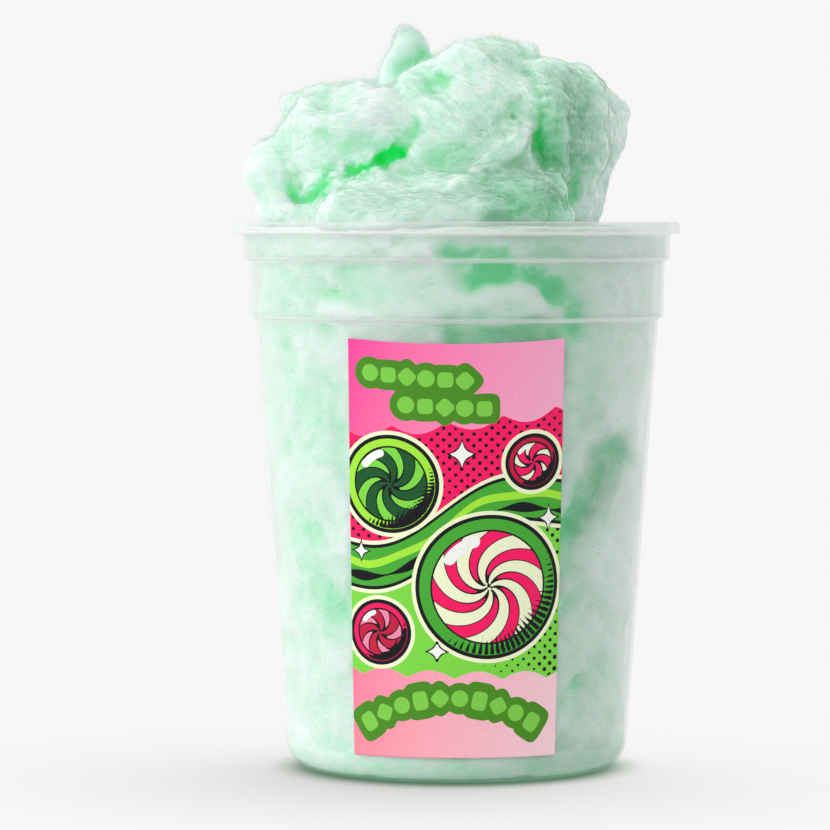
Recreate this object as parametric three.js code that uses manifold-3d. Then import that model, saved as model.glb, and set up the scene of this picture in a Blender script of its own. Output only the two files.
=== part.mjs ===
// A clear plastic tub heaped with cotton candy, with a film label round its front.
// Millimetres, +Z up. The origin is the centre of the tub's foot, and -Y is the label's side.
import * as THREE from "three";
import { mergeVertices } from "three/addons/utils/BufferGeometryUtils.js";
import Module from "manifold-3d";

const wasm = await Module();
wasm.setup();

// ---- driving dimensions ----

const TUB = {
  height: 144,
  wall: 0.8,
  sides: 56,
  rimRadius: 58.75,
  rimHeight: 3.1, // depth of the flange round the mouth
  collarRadius: 56.4, // the lid's seat, just under the flange
  collarFoot: 134.4,
  bandRadius: 54.8, // the stacking band under the collar
  bandFoot: 119.1,
  wallTopRadius: 53.2,
  cornerStartRadius: 45.1, // where the straight wall meets the foot's rounding
  cornerRadius: 7.7,
  draft: 0.3, // how much the collar and the band narrow downwards
  shelf: 0.5, // height of each sloping step
  recess: 1.2, // the base's middle stands this high off the table
  footWidth: 3,
};

const LABEL = {
  bottom: 7.5,
  top: 113.2,
  topRise: 1.3, // a straight-cut film climbs at its ends on a tapering wall
  topHalfAngle: 30.9, // degrees each side of the middle
  bottomHalfAngle: 34.2,
  topTurn: -0.6, // degrees, the label sits a little to the left
  bottomTurn: -1.2,
  gap: 0.3,
  thickness: 0.3,
  columns: 24,
  rows: 2,
};

const CANDY = {
  gap: 0.35, // left between the candy and the plastic
  shoulder: 142.6, // height of the packed candy at the tub's mouth
  crown: 152, // height of the packed candy in the middle, inside the heap
  mouthRings: 4,
  mouthRelief: 0.8,
  mouthCalm: 12, // nearer the axis than this the mouth's relief dies away
  footRise: 0.6, // the bevel round the underside
  rows: 18,
  foldDepth: 3.2, // relief of the packed candy against the wall
  onWall: 34, // points further out than this lie against the wall
  swirlTurns: 2,
};

const HEAP = {
  press: 0.5, // how far one pass draws a point towards its neighbours
  passes: 3,
  puff: 2.2,
  puffLevel: 0.6, // the share of a puff's height that stays below the surface
  foldRise: 0.12, // how far a fold stands out of a tuft, as a share of its size
};

// The swirl that turns round tufts into torn ones: its reach along X, Y and Z, and its smaller ripple's.
const SWIRL = { reach: [1.5, 1.6, 1.2], ripple: [1.1, 1.1, 0.7] };

// The block round the tub that the candy is cut with reaches this far past the plastic.
const BLOCK = { radius: 90, bottom: -10, floorRadius: 30, floor: 4 };

// The heap is torn tufts pressed together. Each has a centre, its half sizes, a lean and its winding.
// Leans are degrees about Y, towards +X, and about X, towards +Y. Folds run round the winding axis.
const TUFTS = {
  core: { at: [-2, 5, 153], size: [37, 35, 25], lean: [8, 0], folds: 3, detail: 4 },
  front: { at: [-6, -25, 146], size: [37, 24, 12.5], lean: [-9, 0], folds: 3, detail: 5 },
  front_right: { at: [7.5, -24, 150.5], size: [15.5, 19, 11.5], lean: [-12, 0], folds: 3, detail: 4 },
  middle_left: { at: [-27, -10, 164.5], size: [20.5, 20.5, 16], lean: [-12, 0], folds: 3, detail: 5 },
  left_overhang: { at: [-43.5, -10, 157.5], size: [11.5, 15, 9], lean: [10, 0], folds: 2, detail: 4 },
  left_web: { at: [-42, -12, 153.3], size: [9, 13.5, 5.6], lean: [0, 0], folds: 2, detail: 2 },
  left_foot: { at: [-38, -8, 146.5], size: [13.5, 22, 7.5], lean: [0, 0], folds: 2, detail: 3 },
  left_knob: { at: [-39.3, -2, 170.3], size: [7.4, 11, 9], lean: [0, 0], folds: 2, detail: 3 },
  left_saddle: { at: [-23.5, 2, 172.2], size: [11, 13, 10], lean: [-10, 0], folds: 2, detail: 3 },
  spire: { at: [-16, 3, 181], size: [6.8, 6.5, 15.5], lean: [9, 0], folds: 3, detail: 4 },
  dome: { at: [3.3, -9, 170], size: [19.6, 20, 18.3], lean: [20, 0], folds: 4, detail: 5 },
  ridge: { at: [9.6, 0, 183.6], size: [9.4, 13, 9.8], lean: [18, 0], folds: 2, detail: 4 },
  right_sheet: { at: [21.5, 1.5, 166], size: [18.6, 27, 22.8], lean: [6, 0], folds: 4, detail: 6 },
  right_flap: { at: [38, 2, 163.5], size: [5.2, 3.2, 9.8], lean: [8, 0], folds: 2, detail: 3 },
  right_foot: { at: [24.5, 2, 148], size: [13.7, 21, 12], lean: [0, 0], folds: 2, detail: 3 },
  tooth: { at: [10.5, -31, 160.5], size: [11, 5.5, 3.8], lean: [-36, 0], folds: 2, detail: 3 },
  right_lobe: { at: [16.5, -27, 151], size: [9, 11.5, 15], lean: [-38, 0], folds: 2, detail: 3 },
  back_left: { at: [-22, 26, 158], size: [23, 19, 16], lean: [-8, 8], folds: 3, detail: 4 },
  back_right: { at: [14, 28, 159], size: [24, 18, 18], lean: [8, 6], folds: 3, detail: 4 },
  back_crown: { at: [-3, 16, 174], size: [19, 16, 12], lean: [0, 14], folds: 3, detail: 3 },
  back_roll: { at: [-4, 38, 147], size: [37, 14, 9.5], lean: [0, 0], folds: 2, detail: 4 },
  left_strand: { at: [-33.3, -27, 153], size: [5.4, 8, 8.5], lean: [6, 0], folds: 2, detail: 2 },
  crease: { at: [-23, -24.5, 158], size: [13, 6, 5.5], lean: [-20, 0], folds: 2, detail: 2 },
  tooth_tip: { at: [16.3, -28.5, 162.5], size: [4.2, 6, 5.5], lean: [0, 0], folds: 2, detail: 2 },
  wisp: { at: [19.3, 1, 191.4], size: [3.4, 3.4, 2.8], lean: [-4, 0], folds: 2, detail: 2 },
  crease_foot: { at: [-25, -29, 154.3], size: [6.5, 6, 4], lean: [-15, 0], folds: 2, detail: 2 },
  lobe_foot: { at: [21, -26, 145.5], size: [12, 9, 8], lean: [0, 0], folds: 2, detail: 3 },
  gap_fill: { at: [24.5, -17, 157], size: [6, 9.5, 14], lean: [0, 0], folds: 2, detail: 3 },
  dome_rim: { at: [-10.2, -13, 182.8], size: [6.5, 6, 3], lean: [-38, 0], folds: 2, detail: 2 },
  sheet_corner: { at: [29.8, 2, 176.5], size: [8.5, 12, 9.8], lean: [12, 0], folds: 2, detail: 3 },
  pocket_fill: { at: [-43.5, -18, 155], size: [5, 7.5, 4.5], lean: [0, 0], folds: 2, detail: 2 },
  tooth_fill: { at: [6, -27, 163.5], size: [10, 4, 4], lean: [-36, 0], folds: 2, detail: 2 },
  spire_side: { at: [-18, 3, 182.5], size: [4.4, 5.5, 7.5], lean: [0, 0], folds: 2, detail: 2 },
  flap_corner: { at: [41, 2, 171.2], size: [3.4, 2.8, 3.4], lean: [0, 0], folds: 2, detail: 2 },
};

const degrees = THREE.MathUtils.degToRad;

// ---- solids ----

function solid(geometry) {
  const bare = geometry.clone();
  for (const name of Object.keys(bare.attributes)) {
    if (name !== "position") bare.deleteAttribute(name);
  }
  const merged = mergeVertices(bare, 1e-3);
  return new wasm.Manifold(
    new wasm.Mesh({
      numProp: 3,
      vertProperties: merged.attributes.position.array,
      triVerts: new Uint32Array(merged.index.array),
    }),
  );
}

function geometryOf(made) {
  const mesh = made.getMesh();
  const geometry = new THREE.BufferGeometry();
  geometry.setAttribute("position", new THREE.BufferAttribute(mesh.vertProperties, 3));
  geometry.setIndex(new THREE.BufferAttribute(mesh.triVerts, 1));
  geometry.computeVertexNormals();
  return geometry;
}

// A profile of [radius, height] points turned about the Z axis.
function revolve(profile) {
  const points = profile.map(([radius, height]) => new THREE.Vector2(radius, height));
  return new THREE.LatheGeometry(points, TUB.sides).rotateX(Math.PI / 2);
}

function moveVertices(geometry, move) {
  const position = geometry.attributes.position;
  const point = new THREE.Vector3();
  for (let i = 0; i < position.count; i++) {
    point.fromBufferAttribute(position, i);
    move(point);
    position.setXYZ(i, point.x, point.y, point.z);
  }
  return geometry;
}

// ---- tub ----

const wallSlope =
  (TUB.wallTopRadius - TUB.cornerStartRadius) / (TUB.bandFoot - TUB.shelf - TUB.cornerRadius);

function wallRadius(z) {
  return TUB.wallTopRadius - wallSlope * (TUB.bandFoot - TUB.shelf - z);
}

// The foot's rounding, from the table up to the wall, pulled in by the wall's thickness for the inside.
function footCorner(inset, steps = 6) {
  const radius = TUB.cornerRadius - inset;
  const centre = TUB.cornerStartRadius - TUB.cornerRadius;
  return Array.from({ length: steps + 1 }, (_, i) => {
    const angle = (i / steps) * (Math.PI / 2);
    return [centre + radius * Math.sin(angle), TUB.cornerRadius - radius * Math.cos(angle)];
  });
}

// The side from the top of the foot's rounding to the underside of the flange.
function side(inset) {
  return [
    [TUB.wallTopRadius - inset, TUB.bandFoot - TUB.shelf],
    [TUB.bandRadius - TUB.draft - inset, TUB.bandFoot],
    [TUB.bandRadius - inset, TUB.collarFoot - TUB.shelf],
    [TUB.collarRadius - TUB.draft - inset, TUB.collarFoot],
  ];
}

function tubProfile() {
  const rimFoot = TUB.height - TUB.rimHeight;
  const footInner = TUB.cornerStartRadius - TUB.cornerRadius - TUB.footWidth;
  const outside = [
    [0, TUB.recess],
    [footInner - TUB.recess, TUB.recess],
    [footInner, 0],
    ...footCorner(0),
    ...side(0),
    [TUB.collarRadius, rimFoot],
    [TUB.rimRadius, rimFoot],
    [TUB.rimRadius, TUB.height - TUB.wall / 2],
    [TUB.rimRadius - TUB.wall / 2, TUB.height],
  ];
  const inside = [
    [0, TUB.recess + TUB.wall],
    [footInner, TUB.recess + TUB.wall],
    ...footCorner(TUB.wall).slice(2),
    ...side(TUB.wall),
    [TUB.collarRadius - TUB.wall, TUB.height],
  ];
  return [...outside, ...inside.reverse()];
}

// ---- candy ----

// A slow swirl through the whole heap, small against the tufts' size.
function drift(point) {
  const { x, y, z } = point;
  const { reach, ripple } = SWIRL;
  point.x += reach[0] * Math.sin(y / 9 + 1.1) + ripple[0] * Math.sin(z / 5.5 + x / 14);
  point.y += reach[1] * Math.sin(x / 8 + 0.4) + ripple[1] * Math.sin(z / 6.5 + y / 11);
  point.z += reach[2] * Math.sin(x / 7.5 + 2.2) * Math.cos(y / 10) + ripple[2] * Math.sin((x - y) / 5);
}

function tuft({ at, size, lean, folds, detail }, index) {
  const turn = new THREE.Euler(degrees(-lean[1]), degrees(lean[0]), 0);
  const winding = new THREE.Vector3(Math.sin(index * 2.4), Math.cos(index * 2.4), 0.9).normalize();
  const side = new THREE.Vector3(winding.y, -winding.x, 0).normalize();
  const direction = new THREE.Vector3();
  return moveVertices(new THREE.IcosahedronGeometry(1, detail), (point) => {
    direction.copy(point);
    const along = direction.dot(winding);
    const round = direction.dot(side);
    const wave = Math.abs(Math.sin(folds * 1.6 * along + 0.9 * Math.sin(2.6 * round + index)));
    point.multiplyScalar(0.92 + HEAP.foldRise * Math.sqrt(wave));
    point.set(point.x * size[0], point.y * size[1], point.z * size[2]).applyEuler(turn);
    point.add(direction.set(...at));
    drift(point);
  });
}

// Folds that the packed candy shows through the wall, 0 where it presses on the plastic and 1 in a fold.
function packedFold(angle, z) {
  const swirl = CANDY.swirlTurns * angle + z / 17 + 0.9 * Math.sin(3 * angle - z / 23);
  const ripple = 0.35 * Math.sin(5 * angle + z / 9 + 2 * Math.sin(2 * angle));
  return Math.pow(0.5 + 0.5 * Math.sin(swirl + ripple), 4);
}

function innerRadius(z) {
  const rounding = TUB.cornerRadius;
  if (z < rounding) {
    const across = Math.sqrt(Math.max(0, (rounding - TUB.wall) ** 2 - (rounding - z) ** 2));
    return TUB.cornerStartRadius - rounding + across;
  }
  if (z < TUB.bandFoot - TUB.shelf) return wallRadius(z) - TUB.wall;
  if (z < TUB.collarFoot) return TUB.wallTopRadius - TUB.wall;
  return TUB.bandRadius - TUB.draft - TUB.wall;
}

function packedCandy() {
  const base = TUB.recess + TUB.wall + CANDY.gap;
  const flats = Math.cos(Math.PI / TUB.sides);
  const profile = [[0, base]];
  for (let row = 0; row <= CANDY.rows; row++) {
    const z = THREE.MathUtils.lerp(base + CANDY.footRise, CANDY.shoulder, row / CANDY.rows);
    profile.push([innerRadius(z) * flats - CANDY.gap, z]);
  }
  const mouth = profile.at(-1)[0];
  for (let ring = 1; ring <= CANDY.mouthRings; ring++) {
    const inwards = ring / CANDY.mouthRings;
    profile.push([mouth * (1 - inwards), THREE.MathUtils.lerp(CANDY.shoulder, CANDY.crown, inwards ** 2)]);
  }
  return moveVertices(revolve(profile), (point) => {
    const radius = Math.hypot(point.x, point.y);
    const angle = Math.atan2(point.y, point.x);
    if (point.z > CANDY.shoulder + 0.1) {
      point.z += CANDY.mouthRelief * Math.sin(5 * angle + radius / 5) * Math.min(1, radius / CANDY.mouthCalm);
    } else if (radius > CANDY.onWall) {
      const depth = CANDY.foldDepth * packedFold(angle, point.z);
      point.x *= (radius - depth) / radius;
      point.y *= (radius - depth) / radius;
    }
  });
}

// All that the candy must stay out of: the tub's wall and rim with the gap, and the space outside them.
function outsideTheTub() {
  const mouth = TUB.collarRadius - TUB.wall - CANDY.gap;
  const over = TUB.height + CANDY.gap;
  const inside = side(TUB.wall + CANDY.gap).map(([radius, z]) => [radius, z]);
  return revolve([
    [0, BLOCK.bottom],
    [BLOCK.radius, BLOCK.bottom],
    [BLOCK.radius, over],
    [mouth, over],
    ...inside.reverse(),
    [TUB.cornerStartRadius - TUB.wall - CANDY.gap, TUB.cornerRadius],
    [BLOCK.floorRadius, BLOCK.floor],
    [0, BLOCK.floor],
  ]);
}

// The largest closed surface of a solid, so that hollows sealed between tufts are filled.
function outerSkin(made) {
  return made.decompose().reduce((most, body) => (body.volume() > most.volume() ? body : most));
}

// Softens the creases where tufts meet, by drawing each point towards the middle of its neighbours.
function pressTogether(geometry) {
  const index = geometry.index.array;
  const position = geometry.attributes.position;
  const pull = Array.from({ length: position.count }, () => ({ sum: new THREE.Vector3(), count: 0 }));
  const neighbour = new THREE.Vector3();
  for (let i = 0; i < index.length; i++) {
    const next = i % 3 === 2 ? i - 2 : i + 1;
    pull[index[i]].sum.add(neighbour.fromBufferAttribute(position, index[next]));
    pull[index[i]].count += 1;
  }
  const point = new THREE.Vector3();
  pull.forEach(({ sum, count }, i) => {
    point.fromBufferAttribute(position, i).lerp(sum.divideScalar(count), HEAP.press);
    position.setXYZ(i, point.x, point.y, point.z);
  });
  return geometry;
}

// Small puffs and creases all over, raised along the surface's own directions.
function fluff(geometry) {
  geometry.computeVertexNormals();
  const normal = new THREE.Vector3();
  let i = 0;
  return moveVertices(geometry, (point) => {
    normal.fromBufferAttribute(geometry.attributes.normal, i++);
    const { x, y, z } = point;
    const wide = Math.abs(Math.sin(x / 5.2 + 1.3 * Math.sin(y / 7) + z / 9));
    const narrow = Math.abs(Math.sin(z / 4.1 + 1.1 * Math.sin(x / 6 + 1) - y / 8));
    point.addScaledVector(normal, HEAP.puff * (Math.sqrt(wide * narrow) - HEAP.puffLevel));
  });
}

function candy() {
  const tufts = Object.values(TUFTS).map((values, index) => solid(tuft(values, index)));
  const heap = geometryOf(tufts.reduce((all, one) => all.add(one)));
  for (let pass = 0; pass < HEAP.passes; pass++) pressTogether(heap);
  const showing = solid(fluff(heap)).subtract(solid(outsideTheTub()));
  return geometryOf(outerSkin(showing.add(solid(packedCandy()))));
}

// ---- label ----

function label() {
  const { columns, rows } = LABEL;
  const box = new THREE.BoxGeometry(1, 1, 1, columns, 1, rows);
  return moveVertices(box, (point) => {
    const up = point.z + 0.5;
    const top = LABEL.top + LABEL.topRise * (2 * point.x) ** 2;
    const z = THREE.MathUtils.lerp(LABEL.bottom, top, up);
    const half = THREE.MathUtils.lerp(LABEL.bottomHalfAngle, LABEL.topHalfAngle, up);
    const turn = THREE.MathUtils.lerp(LABEL.bottomTurn, LABEL.topTurn, up);
    const angle = degrees(turn + 2 * half * point.x);
    const radius = wallRadius(z) + LABEL.gap + (0.5 - point.y) * LABEL.thickness;
    point.set(radius * Math.sin(angle), -radius * Math.cos(angle), z);
  });
}

// ---- scene ----

const material = (color, roughness, more = {}) =>
  new THREE.MeshStandardMaterial({ color, roughness, metalness: 0, ...more });

function piece(name, geometry, look) {
  const mesh = new THREE.Mesh(geometry, look);
  mesh.name = name;
  return mesh;
}

const cottonCandyTub = new THREE.Group();
cottonCandyTub.add(
  piece("tub", revolve(tubProfile()), material("#e3e9e6", 0.35, { transparent: true, opacity: 0.4 })),
  piece("candy", candy(), material("#c6ecd9", 1)),
  piece("label", label(), material("#ff8fbd", 0.45)),
);

export default cottonCandyTub;
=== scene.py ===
"""A translucent plastic tub heaped with cotton candy, with a printed film label on its front.

Shapes are worked out in millimetres, in the frame's axes: +Z up, -Y towards the label, and the origin
in the middle of the tub's foot. Each mesh is scaled to metres as it is made.
"""
import math

import bmesh
import bpy
import numpy as np
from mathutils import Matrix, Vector
from mathutils.bvhtree import BVHTree
from mathutils.kdtree import KDTree


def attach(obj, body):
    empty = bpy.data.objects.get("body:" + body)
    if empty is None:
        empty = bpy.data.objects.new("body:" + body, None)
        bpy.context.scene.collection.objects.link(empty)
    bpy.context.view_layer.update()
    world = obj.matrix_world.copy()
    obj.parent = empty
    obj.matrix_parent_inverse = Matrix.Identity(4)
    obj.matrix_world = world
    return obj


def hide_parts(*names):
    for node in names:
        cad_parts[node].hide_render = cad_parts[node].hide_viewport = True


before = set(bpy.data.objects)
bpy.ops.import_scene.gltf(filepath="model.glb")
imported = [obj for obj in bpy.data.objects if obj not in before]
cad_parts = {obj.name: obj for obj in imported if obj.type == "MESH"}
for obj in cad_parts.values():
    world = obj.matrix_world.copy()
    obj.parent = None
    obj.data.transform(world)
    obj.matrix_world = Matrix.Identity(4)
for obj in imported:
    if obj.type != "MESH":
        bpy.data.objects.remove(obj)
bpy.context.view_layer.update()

MM = 0.001

# ---- sizes, in millimetres ----

HEIGHT = 144.0
WALL = 0.8
RIM_RADIUS = 58.75
RIM_HEIGHT = 3.1
COLLAR_RADIUS = 56.4
COLLAR_FOOT = 134.4
BAND_RADIUS = 54.8
BAND_FOOT = 119.1
WALL_TOP_RADIUS = 53.2
CORNER_START_RADIUS = 45.1
CORNER_RADIUS = 7.7
DRAFT = 0.3
SHELF = 0.5
RECESS = 1.2
FOOT_WIDTH = 3.0

# The torn tufts of the heap: centre, half sizes, lean in degrees (about Y, about X), number of folds,
# and the axis that the spun sugar winds round.
TUFTS = {
    "core": ((-2, 5, 153), (37, 35, 25), (8, 0), 3, (0.3, 0.2, 1)),
    "front": ((-6, -25, 146), (37, 24, 12.5), (-9, 0), 3, (0.1, 0.5, 1)),
    "front_right": ((7.5, -24, 150.5), (15.5, 19, 11.5), (-12, 0), 3, (-0.7, 0.3, 1)),
    "middle_left": ((-27, -10, 164.5), (20.5, 20.5, 16), (-12, 0), 3, (-0.5, 0.2, 1)),
    "left_overhang": ((-43.5, -10, 157.5), (11.5, 15, 9), (10, 0), 2, (0.5, 0.2, 1)),
    "left_web": ((-42, -12, 153.3), (9, 13.5, 5.6), (0, 0), 2, (0.2, 0.4, 1)),
    "left_foot": ((-38, -8, 146.5), (13.5, 22, 7.5), (0, 0), 2, (0.2, 0.4, 1)),
    "left_knob": ((-39.3, -2, 170.3), (7.4, 11, 9), (0, 0), 2, (-0.6, 0.3, 0.6)),
    "left_saddle": ((-23.5, 2, 172.2), (11, 13, 10), (-10, 0), 2, (-0.3, 0.3, 1)),
    "spire": ((-16, 3, 181), (6.8, 6.5, 15.5), (9, 0), 3, (1, 0.3, 0.1)),
    "dome": ((3.3, -9, 170), (19.6, 20, 18.3), (20, 0), 4, (0.8, 0.3, 0.5)),
    "ridge": ((9.6, 0, 183.6), (9.4, 13, 9.8), (18, 0), 2, (1, 0.2, 0.3)),
    "right_sheet": ((21.5, 1.5, 166), (18.6, 27, 22.8), (6, 0), 4, (1, 0.1, 0.1)),
    "right_flap": ((38, 2, 163.5), (5.2, 3.2, 9.8), (8, 0), 2, (1, 0.1, 0.1)),
    "right_foot": ((24.5, 2, 148), (13.7, 21, 12), (0, 0), 2, (1, 0.1, 0.2)),
    "tooth": ((10.5, -31, 160.5), (11, 5.5, 3.8), (-36, 0), 2, (-0.6, 0.1, 1)),
    "right_lobe": ((16.5, -27, 151), (9, 11.5, 15), (-38, 0), 2, (-0.5, 0.1, 1)),
    "back_left": ((-22, 26, 158), (23, 19, 16), (-8, 8), 3, (-0.3, -0.6, 1)),
    "back_right": ((14, 28, 159), (24, 18, 18), (8, 6), 3, (1, 0.4, 0.4)),
    "back_crown": ((-3, 16, 174), (19, 16, 12), (0, 14), 3, (0.4, -0.6, 1)),
    "back_roll": ((-4, 38, 147), (37, 14, 9.5), (0, 0), 2, (0.2, -0.5, 1)),
    "left_strand": ((-33.3, -27, 153), (5.4, 8, 8.5), (6, 0), 2, (0.2, 0.3, 1)),
    "crease": ((-23, -24.5, 158), (13, 6, 5.5), (-20, 0), 2, (-0.5, 0.2, 1)),
    "tooth_tip": ((16.3, -28.5, 162.5), (4.2, 6, 5.5), (0, 0), 2, (-0.6, 0.1, 1)),
    "wisp": ((19.3, 1, 191.4), (3.4, 3.4, 2.8), (-4, 0), 2, (1, 0.2, 0.2)),
    "crease_foot": ((-25, -29, 154.3), (6.5, 6, 4), (-15, 0), 2, (-0.5, 0.2, 1)),
    "lobe_foot": ((21, -26, 145.5), (12, 9, 8), (0, 0), 2, (-0.5, 0.1, 1)),
    "gap_fill": ((24.5, -17, 157), (6, 9.5, 14), (0, 0), 0, (1, 0.1, 0.1)),
    "dome_rim": ((-10.2, -13, 182.8), (6.5, 6, 3), (-38, 0), 2, (0.8, 0.3, 0.5)),
    "sheet_corner": ((29.8, 2, 176.5), (8.5, 12, 9.8), (12, 0), 2, (1, 0.1, 0.1)),
    "pocket_fill": ((-43.5, -18, 155), (5, 7.5, 4.5), (0, 0), 2, (0.2, 0.4, 1)),
    "tooth_fill": ((6, -27, 163.5), (10, 4, 4), (-36, 0), 2, (-0.6, 0.1, 1)),
    "spire_side": ((-18, 3, 182.5), (4.4, 5.5, 7.5), (0, 0), 2, (1, 0.3, 0.1)),
    "flap_corner": ((41, 2, 171.2), (3.4, 2.8, 3.4), (0, 0), 2, (1, 0.1, 0.1)),
}

HEAP_VOXEL = 0.65
PUFF_DEPTH = 1.3  # relief of the heap's puffs, then of the streaks, clumps and fine creases
STREAK_DEPTH = 0.08
CLUMP_DEPTH = 0.4
HEAP_CRUMPLE = 0.42
PACKED_CRUMPLE = 0.25
HOLLOW_GREEN = 0.08  # painted shade: how much greener a hollow is coloured, for each millimetre of its depth
# painted shade and light: how strongly the strokes' green goes into the candy's colour
CREVICE_GREEN = 0.5
PACKED_VOXEL = 1.15
PACKED_GAP = 0.5
SHOULDER = 142.8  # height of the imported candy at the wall
CROWN = 150.0  # and in the middle, inside the heap
RIGHT_DROP = 1.5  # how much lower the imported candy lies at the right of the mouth
FOOT_LEVEL = 1.4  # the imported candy's underside, which reaches just into the base
FOOT_FLAT = 3.6
FOOT_BLEND = 7.0
FOLD_DEPTH = 1.5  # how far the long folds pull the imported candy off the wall
BILLOW_DEPTH = 1.7  # and how far its round lumps do
LABEL_CALM = 0.75  # how much flatter the folds are beside the label
REACH_INTO_WALL = 0.2  # how far the lowest candy reaches into the plastic
WALL_CLEARANCE = 0.25  # and the gap between the wall and the rest

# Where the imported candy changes: the place or height at which each change begins, and is whole.
AT_WALL = (30, 36)  # out from the axis
FOLDS_UP = (8, 48)
FOLDS_DOWN = (SHOULDER - 2, SHOULDER - 8)
BEHIND_LABEL = (30, 26)  # to either side of the middle, where it lies flat on the wall
BESIDE_LABEL = (46, 40)
DROP_RIGHT = (30, 46)
DROP_UP = (125, 142)
# the heights over which the painted shade in the foot, green and dark, fades out
GREEN_FOOT = (11, 2)
PAINTED_SHADE_FOOT = (14, 2)
PALE_RIGHT = (26, 34)
PALE_UP = (25, 45)
DIAGONAL_DOWN = (100, 90)
UNDER_HEAP = (139, 140.5)
PRESSED_DOWN = (14, 6)
PRESSED_OUT = (0.75, 0.9)  # as a share of the room inside the foot
LEVEL_OUT = (30, 38)
LEVEL_UP = (139.5, 141.5)
TORN_IN = (6, 14)  # in from the wall
TORN_UP = (134, 136)

TUB_COVER = 0.2
TUB_MOTTLE = 0.06
TUB_GRAIN = 4.0  # strength of the plastic's finest haze, against the broad one
TUB_EDGE = 0.62  # added where the wall is seen edge on
TUB_EDGE_POWER = 2.4
FOOT_EDGE = 0.45  # share of that at the bottom of the foot, which grows over the height below
FOOT_EDGE_RISE = 11.0
RING_COVER = 0.5  # added where the plastic is thick, at the steps and under the flange
RING_HALF = 0.3
RING_FADE = 0.9
SOLE = 4.0  # the lowest part of the foot, which is thicker and hazier
SOLE_COVER = 0.72
FLANGE_COVER = 0.20
FLANGE_FADE = 0.4
PAINTED_FOOT_SHADE_TOP = 12.0  # the height up to which the foot is painted darker and greener: painted shade, tinted by painted green light from the candy

# Loose threads: name, number, points along each, step, least and most lift, radius and seed.
HEAP_FLOSS = [
    ("floss_strands", 3600, 8, 2.3, 0.04, 0.35, 0.036, 13),
    ("floss_fuzz", 32000, 3, 1.65, 0.3, 2.2, 0.036, 10),
]
MOUTH_FLOSS = ("floss_mouth", 2600, 6, 1.8, 0.05, 0.9, 0.04, 3)
HEAP_LEVEL = HEIGHT + 0.5  # the threads on the heap start above this
MOUTH_LEVEL = 135.0
THREAD_REACH = 52.0  # no thread starts further out than this
THREAD_GREEN = 0.85  # nor in a crevice greener than this
SHEET_CALM = 0.75  # how much smoother the sheets at the right of the heap are
SHEETS = (17, 25)  # the places across between which they set in
SHELTER_VOXEL = 1.6
SHELTER_RAYS = 20
SHELTER_REACH = 22.0
SHELTER_START = 0.8
GOLDEN_ANGLE = 2.39996  # spreads the rays evenly, in radians
THICK = 15.0  # candy thicker than this lets no light through
THIN_START = 0.3  # how far inside the surface its thickness is measured from
FIBRE_STRETCH = 0.12  # how much slower the look changes along the fibres than across them

# Crevices (negative) and torn edges (positive) on the front of the heap: height, width, how much greener
# painted shade colours it inside (paler painted light below zero), and the line of (x, z) points that each
# follows.
STROKES = [
    (1.4, 2.0, 0, [(-45, 146.5), (-38, 148.5), (-33, 148)]),
    (-3, 1.7, 1.6, [(-14.5, 161.8), (-17, 160.4), (-21.5, 158.4), (-28, 157)]),
    (-1, 1.6, 0.5, [(-10.2, 169), (-13, 163)]),
    (0, 3.2, 0.45, [(-12, 165.5), (-17, 162.5), (-24, 160)]),
    (-1.4, 2.2, 0.7, [(-24.5, 155.6), (-29.5, 155)]),
    (-1, 1.5, 0.4, [(-31, 163.5), (-29.5, 163.2)]),
    (-2.0, 2.4, 0.9, [(-34.5, 157.5), (-35, 153.5), (-37, 151), (-40, 150.8)]),
    (-2.6, 3.2, 0.6, [(-7.5, 180.5), (-3.5, 183)]),
    (-1.2, 2.4, 0.1, [(-30, 175), (-27, 172)]),
    (-2.0, 2.2, 0.1, [(-34, 181), (-33.5, 175)]),
    (-2.0, 1.8, 0.3, [(19, 184), (20.2, 180), (21.5, 174), (22.2, 165), (22, 158)]),
    (1.0, 1.8, 0, [(25.5, 178), (28, 172), (29, 166), (28.3, 160), (26, 155)]),
    (-1.8, 2.6, 0.25, [(30, 181), (32, 173), (32.4, 165), (31.5, 157), (29.5, 149)]),
    (1.4, 1.8, 0, [(35.3, 180), (37.6, 172), (38, 164), (37, 155), (34.6, 147)]),
    (1.8, 1.6, -0.5, [(-2, 153.8), (8, 158.3), (14, 162.2), (18, 165.5), (18.8, 168.5)]),
    (0.8, 1.6, 0, [(19.5, 165), (20.5, 160), (23.5, 156), (27.5, 151.5), (33, 145)]),
    (-0.8, 2.2, 0.1, [(22, 163), (24.5, 158.5), (29, 153), (34, 148)]),
    (0, 7, 0.5, [(12, 149), (20, 148), (28, 146)]),
    (0, 5, 0.3, [(9, 172), (16, 173)]),
    (0, 7, 0.08, [(-3, 160), (4, 166), (9, 172)]),
    (0, 4, 0.18, [(-6, 175), (-3, 171)]),
    (0, 8, 0.2, [(26, 176), (28, 166), (27, 152)]),
    (0, 5, 0.15, [(33, 172), (34, 160), (33, 154)]),
    (0, 5, 0.3, [(-34, 166), (-31, 160), (-27, 159)]),
    (0, 3.5, 0.35, [(-10, 183), (-12, 178)]),
    (0, 6, 0.12, [(-50, 165), (-52, 155), (-48, 149)]),
    (0, 3, -0.25, [(-45.5, 157), (-44.5, 152)]),
    (0, 4.5, -0.5, [(-20, 186), (-19, 178), (-21, 172)]),
    (0, 3.5, -0.6, [(40, 172), (42.5, 164), (38, 154), (35, 146)]),
]

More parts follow.
